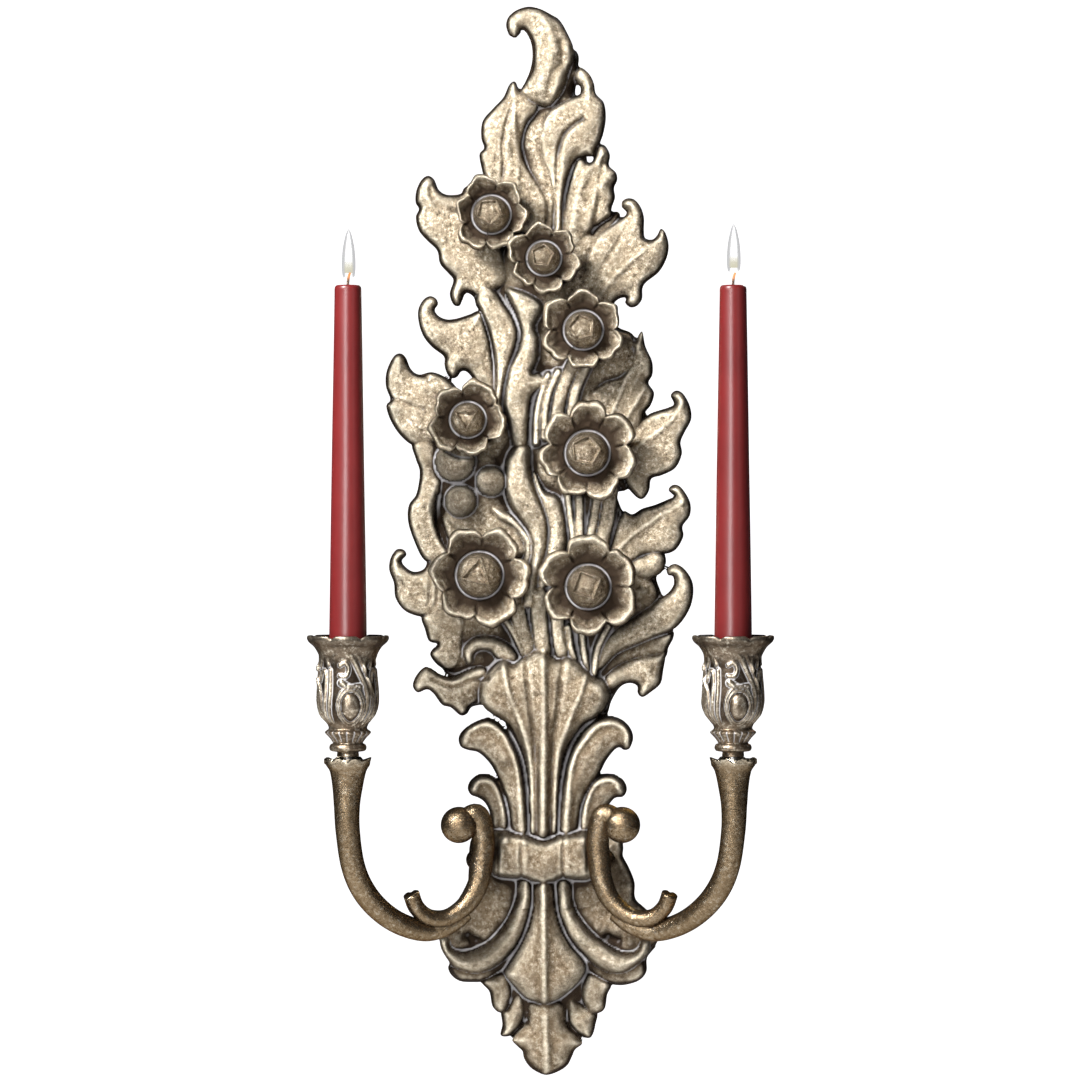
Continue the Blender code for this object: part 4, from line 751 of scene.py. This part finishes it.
def ball_mesh(x, depth, z, radius, rings=24, sides=36):
    verts = [(x, -depth, z - radius)]
    for j in range(1, rings):
        polar = math.pi * j / rings
        for k in range(sides):
            angle = 2 * math.pi * k / sides
            verts.append((x + radius * math.sin(polar) * math.cos(angle),
                          -depth + radius * math.sin(polar) * math.sin(angle),
                          z - radius * math.cos(polar)))
    verts.append((x, -depth, z + radius))
    faces = grid_faces(rings - 1, sides, True, 1)
    last = len(verts) - 1
    for k in range(sides):
        n = (k + 1) % sides
        faces.append([0, 1 + n, 1 + k])
        faces.append([last, last - sides + k, last - sides + n])
    return verts, faces


def scroll_section(angle, share):
    """Band with two beads and a groove along its front."""
    across, proud = math.cos(angle), math.sin(angle)
    groove = 0.42 * math.exp(-(across / 0.26) ** 2) * max(proud, 0)
    return across, proud - groove


def arm_section(angle, share):
    """Round bar that opens into a lobed calyx at its top."""
    lobes = 0.10 * abs(math.cos(3.5 * angle)) * max(0.0, (share - 0.93) / 0.07)
    return math.cos(angle) * (1 + lobes), math.sin(angle) * (1 + lobes)


def round_section(angle, share):
    return math.cos(angle), math.sin(angle)


def make_arm(side_name, mirror, mat):
    sides, steps = ((36, 10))
    parts = [
        tube([row + (row[3],) for row in ARM], steps, sides, arm_section),
        tube(SCROLL, steps, sides, scroll_section),
        tube([row + (row[3],) for row in ROOT], steps, sides, round_section),
        ball_mesh(*SCROLL_BALL),
    ]
    verts, faces = [], []
    for part_verts, part_faces in parts:
        faces += [[i + len(verts) for i in face] for face in part_faces]
        verts += [tuple(v) for v in part_verts]
    verts = np.array(verts)
    around = np.arctan2(verts[:, 1] + CUP_DEPTH, verts[:, 0] - CUP_X)
    leaf_tips = np.clip((verts[:, 2] + 361) / 9, 0, 1) * (np.abs(verts[:, 0] - CUP_X) < 16)
    lobe = np.abs(np.sin(4 * around))
    stretch = 1 + 0.03 * leaf_tips * (lobe - 0.6)
    verts[:, 0] = CUP_X + np.where(leaf_tips > 0, stretch, 1) * (verts[:, 0] - CUP_X)
    verts[:, 1] = np.where(leaf_tips > 0, stretch, 1) * (verts[:, 1] + CUP_DEPTH) - CUP_DEPTH
    verts[:, 2] += leaf_tips ** 2 * (0.6 - 3.2 * (1 - lobe) ** 1.5)
    if mirror:
        verts[:, 0] = 2 * ARM_PLANE_X - verts[:, 0]
    name = side_name + "_arm"
    obj = make_object(name + "_moulding", verts, faces, mat, "wall_frame", [name], "antique_gold")
    bm = bmesh.new()
    bm.from_mesh(obj.data)
    bmesh.ops.recalc_face_normals(bm, faces=bm.faces)
    bm.to_mesh(obj.data)
    bm.free()
    zeros = np.zeros(len(verts))
    # The calyx leaf tips are lightened as wear and painted highlight; no wash and no painted shade.
    store_wash_and_painted_light(obj.data, zeros, zeros, 0.5 * leaf_tips ** 4)


def make_cup(side_name, centre_x, mat):
    turns, steps = ((208, 9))
    outside = open_curve(CUP_OUTSIDE, steps)
    inside = open_curve(CUP_INSIDE, 2)
    angle = np.linspace(0, 2 * math.pi, turns, endpoint=False)[None, :]
    r, z = outside[:, :1], outside[:, 1:]
    carve, edging = cup_carving(angle, z)
    lip = np.clip((z + 292) / 10, 0, 1)
    lobe = np.abs(np.cos(4 * angle)) - 0.5
    radius = r + carve + lip * 1.5 * lobe
    drop = lip ** 2 * 3.0 * (0.5 - np.abs(np.cos(4 * angle)))
    height = z - np.maximum(drop, 0) * (r > 20)
    lip_in = np.clip((inside[:, 1:] + 292) / 10, 0, 1)
    radius_in = inside[:, :1] + lip_in * 1.5 * lobe
    height_in = inside[:, 1:] - 3.0 * lip_in ** 2 * np.maximum(0.5 - np.abs(np.cos(4 * angle)), 0)
    radius = np.concatenate([radius, radius_in])
    height = np.concatenate([height + 0 * angle, height_in + 0 * angle])
    verts = np.stack([centre_x + radius * np.cos(angle), -CUP_DEPTH + radius * np.sin(angle), height], -1)
    rows = len(radius)
    faces = grid_faces(rows, turns, True)
    obj = make_object(side_name + "_cup_body", verts.reshape(-1, 3), faces, mat, side_name + "_holder",
                      [side_name + "_cup"], "silvered_gold")
    bm = bmesh.new()
    bm.from_mesh(obj.data)
    bmesh.ops.recalc_face_normals(bm, faces=bm.faces)
    bm.to_mesh(obj.data)
    bm.free()
    depth = np.concatenate([carve + 0 * angle, np.zeros((len(inside), turns))])
    fine = depth - blurred(depth, np.ones(depth.shape), 3.0)
    crevice = np.concatenate([edging, np.zeros((len(inside), turns))])
    # Proud carving and the band at the lip are lightened as wear and painted highlight.
    crest = 0.45 * np.clip((fine - 0.12) / 0.35, 0, 1)
    rim = np.concatenate([np.clip((z + 284) / 3, 0, 1) + 0 * angle, np.zeros((len(inside), turns))])
    # Painted shade: a little all over, more towards the lip and in the carved hollows, and deep inside the cup.
    sunk = 0.1 + 0.3 * lip + 0.5 * np.clip(-(carve + 0.1) / 0.5, 0, 1)
    painted_shade = np.concatenate([sunk, np.full((len(inside), turns), 0.8)])
    store_wash_and_painted_light(obj.data, crevice.ravel(), painted_shade.ravel(), np.maximum(crest, 0.3 * rim).ravel())


def cup_carving(angle, z):
    """Leaf scrolls, cabochons and flutes carved round the cup, as height added to its wall."""
    carve = np.zeros(np.broadcast(angle, z).shape)
    belly = np.clip((z + 333) / 5, 0, 1) * np.clip((-290 - z) / 8, 0, 1)
    arc = (angle / (2 * math.pi) * 3) % 1 - 0.5
    x = arc * 36.0
    edging = np.zeros(carve.shape)
    for points, amount, width in CUP_SCROLLS:
        curve = open_curve(points, 5)
        for shift in (-36.0, 0.0, 36.0):
            d = distance_to(curve, x + shift + 0 * z, z + 0 * x, False) / width
            carve += 0.9 * amount * np.exp(-d ** 2)
            edging = np.maximum(edging, np.exp(-((d - 1.6) / 0.4) ** 2))
    edging *= np.clip(1.3 - carve, 0, 1)
    oval = np.hypot((x + 6.3) / 5.2, (z + 321) / 7.6)
    carve = np.where(oval < 1.7, 0, carve) + 2.0 * np.sqrt(np.clip(1 - oval ** 2, 0, 1))
    carve += 1.2 * np.exp(-((oval - 1.27) / 0.10) ** 2) + 1.2 * np.exp(-((oval - 1.57) / 0.10) ** 2)
    for ring in (1.12, 1.42, 1.72):
        edging = np.where(oval < 1.8, 0, edging) if ring == 1.12 else edging
        edging = np.maximum(edging, np.exp(-((oval - ring) / 0.05) ** 2))
    carve = (carve - 0.7) * belly
    flutes = np.clip((z + 343) / 2, 0, 1) * np.clip((-334 - z) / 2, 0, 1)
    ribs = np.abs(np.cos(9 * angle))
    return carve + 0.5 * flutes * (ribs - 0.6), np.maximum(edging * belly, flutes * np.clip(1.2 - 2 * ribs, 0, 1))


# (points as (arc, z), height, half width) of the scrolls that repeat round the cup
CUP_SCROLLS = [
    ([(-13, -303), (-9, -303), (-7.6, -299), (-9.6, -295.5), (-13, -297)], 1.3, 1.0),
    ([(-12, -307), (-7, -310), (-1, -309.5)], 1.5, 1.5),
    ([(-6.5, -290), (-1.5, -299.5), (3.4, -310.6), (4, -320), (2.5, -329)], 1.5, 1.3),
    ([(-2, -290), (2.6, -300), (6.4, -312), (7, -322), (5.4, -331)], 1.4, 0.9),
    ([(4.5, -305), (9, -314), (10, -324), (8.2, -331)], 1.4, 0.9),
    ([(2.4, -300), (2.6, -293.5), (5.8, -291), (8.4, -293.6), (7.2, -298)], 1.5, 1.0),
    ([(7.8, -306), (9, -301), (12.4, -301), (13.8, -307), (13.2, -317), (11.6, -330)], 1.5, 1.0),
    ([(16.4, -300), (16.8, -314), (14.8, -330)], 1.2, 1.1),
    ([(-16, -292), (-11, -290), (-6, -291.6)], 1.2, 1.0),
    ([(10, -290), (13, -292), (15, -297)], 1.2, 0.9),
]


# ------------------------------------------------------- candles and flames

def turned(profile, centre_x, sides):
    rows = np.array(profile, float)
    angle = np.linspace(0, 2 * math.pi, sides, endpoint=False)[None, :]
    r = rows[:, :1] * (1 + 0.004 * np.sin(3 * angle + rows[:, 1:] / 23))
    verts = np.stack([centre_x + r * np.cos(angle), -CUP_DEPTH + r * np.sin(angle),
                      rows[:, 1:] + 0 * angle], -1)
    faces = grid_faces(len(rows), sides, True)
    faces.append(list(range(sides))[::-1])
    faces.append(list(range(verts.shape[0] * sides - sides, verts.shape[0] * sides)))
    return verts.reshape(-1, 3), faces


def joined_rows(last, sides):
    """Faces that close a turned shell from its last row back to its first."""
    for i in range(sides):
        j = (i + 1) % sides
        yield last * sides + i, last * sides + j, j, i


# (radius, height) of a flame, up its outside and down its inside, and of the glow at its foot
FLAME = [(3.4, -73.2), (4.0, -68.0), (3.9, -61.5), (3.2, -54.8), (1.6, -47.8), (0.1, -44.8),
         (0.1, -45.6), (1.3, -48.5), (2.8, -55.0), (3.5, -61.5), (3.6, -68.0), (3.1, -73.2)]
CORE = [(0.15, -68.4), (1.4, -69.2), (2.7, -70.2), (3.2, -68.2), (2.7, -65.2), (1.6, -63.0), (0.15, -62.0)]


def make_candle(side_name, centre_x, rise, wax, cotton, glow):
    body = side_name + "_taper"
    profile = [(10.4, -305.6), (10.9, -304.8), (10.9, -281), (9.4, -180), (7.8, -82), (7.8, -80.2),
               (7.6, -78.8), (7.0, -77.9), (6.2, -77.6), (3.0, -78.2), (1.6, -78.7), (0.4, -78.8)]
    smooth = np.concatenate([open_curve(profile[:5], 10)[:-1], open_curve(profile[4:], 4)])
    make_object(side_name + "_candle_wax", *turned(smooth, centre_x, 48), wax, body,
                [side_name + "_candle"], "red_wax")
    rows = [(centre_x, CUP_DEPTH, -82.0, 0.8, 0.8), (centre_x, CUP_DEPTH, -76.0, 0.8, 0.8),
            (centre_x + 0.5, CUP_DEPTH, -72.4, 0.75, 0.75), (centre_x + 1.3, CUP_DEPTH, -70.2, 0.6, 0.6)]
    wick, faces = tube(rows, 6, 12, round_section)
    make_object(side_name + "_wick_braid", np.array(wick), faces, cotton, body,
                [side_name + "_wick"], "wick_cotton")
    air = np.array(FLAME) + (0, rise)
    verts, faces = turned(np.concatenate([open_curve(air[:6], 6), open_curve(air[6:], 6)]), centre_x + 0.4, 40)
    faces = faces[:-2] + [[a, b, c, d] for a, b, c, d in joined_rows(len(verts) // 40 - 1, 40)]
    make_object(side_name + "_flame", verts, faces, glow[0], body)
    core, faces = turned(open_curve(np.array(CORE) + (0, rise), 6), centre_x + 0.4, 40)
    make_object(side_name + "_flame_core", core, faces, glow[1], body)



# --------------------------------------------------------------- materials

class Nodes:
    """Short way to write a material's node tree."""

    def __init__(self, name):
        self.mat = bpy.data.materials.new(name)
        self.mat.use_nodes = True
        self.tree = self.mat.node_tree
        self.shader = self.tree.nodes["Principled BSDF"]

    def add(self, kind, sockets=(), **settings):
        node = self.tree.nodes.new("ShaderNode" + kind)
        for key, value in settings.items():
            setattr(node, key, value)
        for key, value in dict(sockets).items():
            self.put(node.inputs[key], value)
        return node

    def put(self, socket, value):
        if hasattr(value, "links"):
            self.tree.links.new(value, socket)
        else:
            socket.default_value = value

    def set(self, **sockets):
        for key, value in sockets.items():
            self.put(self.shader.inputs[key.replace("_", " ")], value)

    def noise(self, scale, detail=3.0, roughness=0.5, vector=None):
        sockets = {"Scale": scale, "Detail": detail, "Roughness": roughness}
        sockets["Vector"] = vector or self.place()
        return self.add("TexNoise", sockets).outputs["Fac"]

    def place(self):
        if not hasattr(self, "coordinate"):
            self.coordinate = self.add("TexCoord").outputs["Object"]
        return self.coordinate

    def ramp(self, value, *stops):
        node = self.add("ValToRGB", {"Fac": value})
        elements = node.color_ramp.elements
        while len(elements) < len(stops):
            elements.new(0.5)
        for element, (position, colour) in zip(elements, stops):
            element.position = position
            element.color = (*colour, 1.0) if isinstance(colour, tuple) else (colour,) * 3 + (1.0,)
        return node.outputs["Color"]

    def mix(self, share, a, b, blend="MIX"):
        node = self.add("Mix", data_type="RGBA", blend_type=blend)
        for socket, value in zip((0, 6, 7), (share, a, b)):
            if isinstance(value, tuple):
                value = (*value, 1.0)
            self.put(node.inputs[socket], value)
        return node.outputs[2]

    def math(self, operation, a, b=0.0, clamp=False, c=0.0):
        node = self.add("Math", operation=operation, use_clamp=clamp)
        for socket, value in zip(node.inputs, (a, b, c)):
            self.put(socket, value)
        return node.outputs[0]

    def bump(self, height, distance, strength=1.0, normal=None):
        sockets = {"Height": height, "Distance": distance, "Strength": strength}
        if normal:
            sockets["Normal"] = normal
        return self.add("Bump", sockets).outputs["Normal"]


def gilt(name, tint, wash, wash_share, dark_share, low_tone, hammered=0.0011, gloss=0.0):
    """Antique leaf: gold over brown, lightened on proud points as wear and painted highlight, painted shade in
    the hollows, grey-white wash in the crevices, darker low down.
    """
    n = Nodes(name)
    level = n.add("SeparateXYZ", {"Vector": n.place()}).outputs["Z"]
    low = n.math("MULTIPLY_ADD", level, -9.0, True, -2.1)
    wash_and_painted_light = n.add("Attribute", attribute_name="wash_and_painted_light").outputs["Color"]
    parts = n.add("SeparateColor", {"Color": wash_and_painted_light}).outputs
    crevice, painted_shade, crest = parts[0], parts[1], parts[2]
    patches = n.noise(60, 5, 0.6)
    leafing = n.noise(420, 8, 0.8)
    grit = n.noise(2200, 4, 0.65)
    gold = n.ramp(leafing, (0.39, (0.06, 0.04, 0.025)), (0.46, tuple(c * 0.7 for c in tint)),
                  (0.53, tint), (0.60, (0.92, 0.85, 0.70)))
    gold = n.mix(n.ramp(patches, (0.40, 0.0), (0.62, 0.7)), gold, tuple(c * 0.55 for c in tint))
    gold = n.mix(n.math("MULTIPLY", low, low_tone), gold, (0.10, 0.066, 0.036))
    # Wear and painted highlight: proud points lightened towards cream.
    rubbed_and_lit = n.math("MULTIPLY", crest, n.ramp(leafing, (0.3, 0.3), (0.6, 1.0)))
    gold = n.mix(n.math("MULTIPLY", rubbed_and_lit, 0.8), gold, (0.95, 0.87, 0.70))
    # Painted shade: hollows darkened towards near-black brown.
    shade = n.math("MULTIPLY", n.ramp(painted_shade, (0.06, 0.0), (0.65, 1.0)), dark_share)
    gold = n.mix(shade, gold, (0.032, 0.022, 0.015))
    film = n.math("MULTIPLY", n.ramp(crevice, (0.40, 0.0), (0.95, 1.0)), n.ramp(grit, (0.2, 0.7), (0.7, 1.0)))
    film = n.math("MULTIPLY", film, wash_share)
    n.set(Base_Color=n.mix(film, gold, wash))
    n.set(Metallic=n.math("SUBTRACT", 0.82 + gloss, n.math("MULTIPLY", film, 0.7), True))
    n.set(Specular_Tint=(0.25, 0.2, 0.15, 1.0))
    rough = n.ramp(leafing, (0.3, 0.48 - gloss), (0.7, 0.28 - gloss))
    n.set(Roughness=n.mix(film, rough, (0.7, 0.7, 0.7)))
    relief_height = n.math("ADD", n.math("MULTIPLY", leafing, 0.8), n.math("MULTIPLY", grit, 0.25))
    relief_height = n.math("ADD", relief_height, n.math("MULTIPLY", patches, 2.0))
    n.set(Normal=n.bump(relief_height, hammered, 1.0))
    return n.mat


def metal(name, colour, roughness):
    n = Nodes(name)
    streak = n.noise(700, 4, 0.6)
    n.set(Base_Color=n.mix(n.ramp(n.noise(60), (0.35, 0.0), (0.7, 0.6)), colour, tuple(c * 0.7 for c in colour)))
    n.set(Metallic=1.0)
    n.set(Roughness=n.ramp(streak, (0.3, roughness), (0.7, roughness + 0.15)))
    n.set(Normal=n.bump(streak, 0.0001, 0.5))
    return n.mat


def wax_material():
    n = Nodes("candle_wax")
    cloud = n.noise(45, 3, 0.5)
    n.set(Base_Color=n.ramp(cloud, (0.3, (0.095, 0.008, 0.008)), (0.7, (0.115, 0.010, 0.010))))
    n.set(Roughness=n.ramp(n.noise(260, 4, 0.6), (0.3, 0.33), (0.7, 0.37)))
    n.set(Subsurface_Weight=0.08)
    n.shader.inputs["Subsurface Radius"].default_value = (0.004, 0.0008, 0.0006)
    n.set(Normal=n.bump(n.noise(120, 3, 0.5), 0.0002, 0.5))
    return n.mat


def glow_material(name, colour, fading, share):
    """Thin hot gas: colour at full height share, seen through where share is low."""
    n = Nodes(name)
    height = n.add("SeparateXYZ", {"Vector": n.add("TexCoord").outputs["Generated"]}).outputs["Z"]
    flicker = n.math("MULTIPLY_ADD", n.noise(120, 3, 0.5), 0.1, False, -0.05)
    height = n.ramp(n.math("ADD", height, flicker), *fading)
    n.set(Base_Color=(0.02, 0.02, 0.02, 1.0))
    n.set(Roughness=1.0)
    n.set(Specular_IOR_Level=0.0)
    n.set(Emission_Color=n.ramp(flicker, (0.0, tuple(0.97 * c for c in colour)), (0.1, colour)))
    n.set(Emission_Strength=1.0)
    n.set(Alpha=n.math("MULTIPLY", height, share(n)))
    return n.mat


def flame_material():
    """Clear air that shows only at its rim, as a glass chimney does."""
    def rim(n):
        facing = n.add("LayerWeight", {"Blend": 0.5}).outputs["Facing"]
        return n.ramp(facing, (0.10, 0.0), (0.42, 0.75))
    return glow_material("flame_air", (0.55, 0.55, 0.56), ((0.0, 0.0), (0.08, 1.0)), rim)


def core_material():
    """Pale glow round the tip of the wick."""
    def even(n):
        return n.ramp(n.noise(500, 2, 0.5), (0.2, 0.8), (0.8, 1.0))
    return glow_material("flame_core", (0.68, 0.65, 0.50), ((0.15, 1.0), (0.9, 0.0)), even)


def cotton_material():
    n = Nodes("charred_cotton")
    braid = n.add("TexWave", {"Vector": n.place(), "Scale": 400.0, "Distortion": 2.0},
                  bands_direction="DIAGONAL").outputs["Fac"]
    n.set(Base_Color=n.ramp(braid, (0.2, (0.03, 0.02, 0.016)), (0.8, (0.16, 0.10, 0.07))))
    height = n.add("SeparateXYZ", {"Vector": n.place()}).outputs["Z"]
    ember = n.math("MULTIPLY_ADD", height, 400.0, True, 30.0)
    n.set(Emission_Color=n.mix(ember, (0.0, 0.0, 0.0), (1.0, 0.36, 0.10)))
    n.set(Emission_Strength=1.0)
    n.set(Roughness=0.9)
    n.set(Normal=n.bump(braid, 0.0002))
    return n.mat


# ----------------------------------------------------------- stage and view

def make_stage():
    n = Nodes("pale_floor")
    n.set(Base_Color=n.ramp(n.noise(3), (0.3, (0.80, 0.80, 0.80)), (0.7, (0.84, 0.84, 0.84))))
    n.set(Roughness=0.8)
    bm = bmesh.new()
    bmesh.ops.create_circle(bm, cap_ends=True, radius=0.9, segments=96)
    mesh = bpy.data.meshes.new("floor")
    bm.to_mesh(mesh)
    bm.free()
    mesh.materials.append(n.mat)
    floor = bpy.data.objects.new("floor", mesh)
    floor.location = (0, 0, -0.76)
    bpy.context.scene.collection.objects.link(floor)


def make_world():
    """Dim room, with a white surround that only the camera sees."""
    world = bpy.data.worlds.new("studio")
    bpy.context.scene.world = world
    world.use_nodes = True
    world.node_tree.nodes["Background"].inputs["Color"].default_value = (0.05, 0.05, 0.055, 1)
    mesh = bpy.data.meshes.new("surround")
    bm = bmesh.new()
    bmesh.ops.create_uvsphere(bm, u_segments=48, v_segments=24, radius=6.0)
    bmesh.ops.reverse_faces(bm, faces=bm.faces)
    bm.to_mesh(mesh)
    bm.free()
    n = Nodes("white_surround")
    n.set(Base_Color=n.ramp(n.noise(0.5), (0.3, (0.9, 0.9, 0.9)), (0.7, (1.0, 1.0, 1.0))))
    n.set(Roughness=1.0)
    n.set(Emission_Color=(1.0, 1.0, 1.0, 1.0))
    n.set(Emission_Strength=1.0)
    mesh.materials.append(n.mat)
    surround = bpy.data.objects.new("surround", mesh)
    surround.visible_diffuse = False
    surround.visible_glossy = False
    surround.visible_shadow = False
    bpy.context.scene.collection.objects.link(surround)


def area_light(name, place, target, width, height, power):
    data = bpy.data.lights.new(name, "AREA")
    data.shape = "RECTANGLE"
    data.size = width
    data.size_y = height
    data.energy = power
    light = bpy.data.objects.new(name, data)
    light.location = place
    light.rotation_euler = (Vector(target) - Vector(place)).to_track_quat("-Z", "Y").to_euler()
    bpy.context.scene.collection.objects.link(light)


def make_lights():
    centre = (0, 0, -0.22)
    area_light("key", (-0.90, -1.10, 0.85), centre, 0.4, 0.4, 88)
    area_light("fill", (1.1, -1.3, 0.1), centre, 0.6, 0.6, 1.2)
    area_light("front", (-0.62, -1.95, -0.15), centre, 0.5, 1.3, 34)
    area_light("rear", (0.9, 1.6, 0.9), centre, 0.4, 0.4, 12)


def make_camera():
    data = bpy.data.cameras.new("camera")
    data.sensor_width = 36
    data.lens = 36 * 2000 / 648
    camera = bpy.data.objects.new("camera", data)
    camera.location = (-0.0018, -2.025, -0.225)
    camera.rotation_euler = (math.pi / 2, 0, 0)
    bpy.context.scene.collection.objects.link(camera)
    bpy.context.scene.camera = camera


def main():
    bpy.context.scene.view_settings.view_transform = "Standard"
    gold = gilt("antique_gold_leaf", (0.42, 0.335, 0.23), (0.46, 0.45, 0.46), 0.85, 1.0, 0.6)
    bronze = gilt("burnished_gold_leaf", (0.42, 0.32, 0.20), (0.34, 0.33, 0.34), 0.85, 1.0, 0.7, 0.0004, 0.13)
    silver = gilt("silvered_gold_leaf", (0.24, 0.19, 0.14), (0.46, 0.455, 0.46), 0.9, 1.0, 0.4, 0.0002, 0.04)
    wax = wax_material()
    cotton = cotton_material()
    glow = flame_material(), core_material()
    make_backplate(gold)
    for seed, (name, spec) in enumerate(FLOWERS.items(), 1):
        make_flower(name, spec, gold, seed)
    for side_name, mirror in (("left", False), ("right", True)):
        centre = 2 * ARM_PLANE_X - CUP_X if mirror else CUP_X
        make_arm(side_name, mirror, bronze)
        make_cup(side_name, centre, silver)
        make_candle(side_name, centre, 3.0 if mirror else 0.0, wax, cotton, glow)
    finishes = {
        "hanger": metal("zinc", (0.56, 0.57, 0.60), 0.32),
        "screw": metal("screw_steel", (0.50, 0.50, 0.52), 0.3),
        "stud": metal("stud_steel", (0.50, 0.50, 0.52), 0.35),
        "liner": metal("spun_brass", (0.66, 0.47, 0.20), 0.3),
    }
    for name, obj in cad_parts.items():
        for word, mat in finishes.items():
            if word in name:
                obj.data.materials.clear()
                obj.data.materials.append(mat)
    make_stage()
    make_world()
    make_lights()
    make_camera()


main()
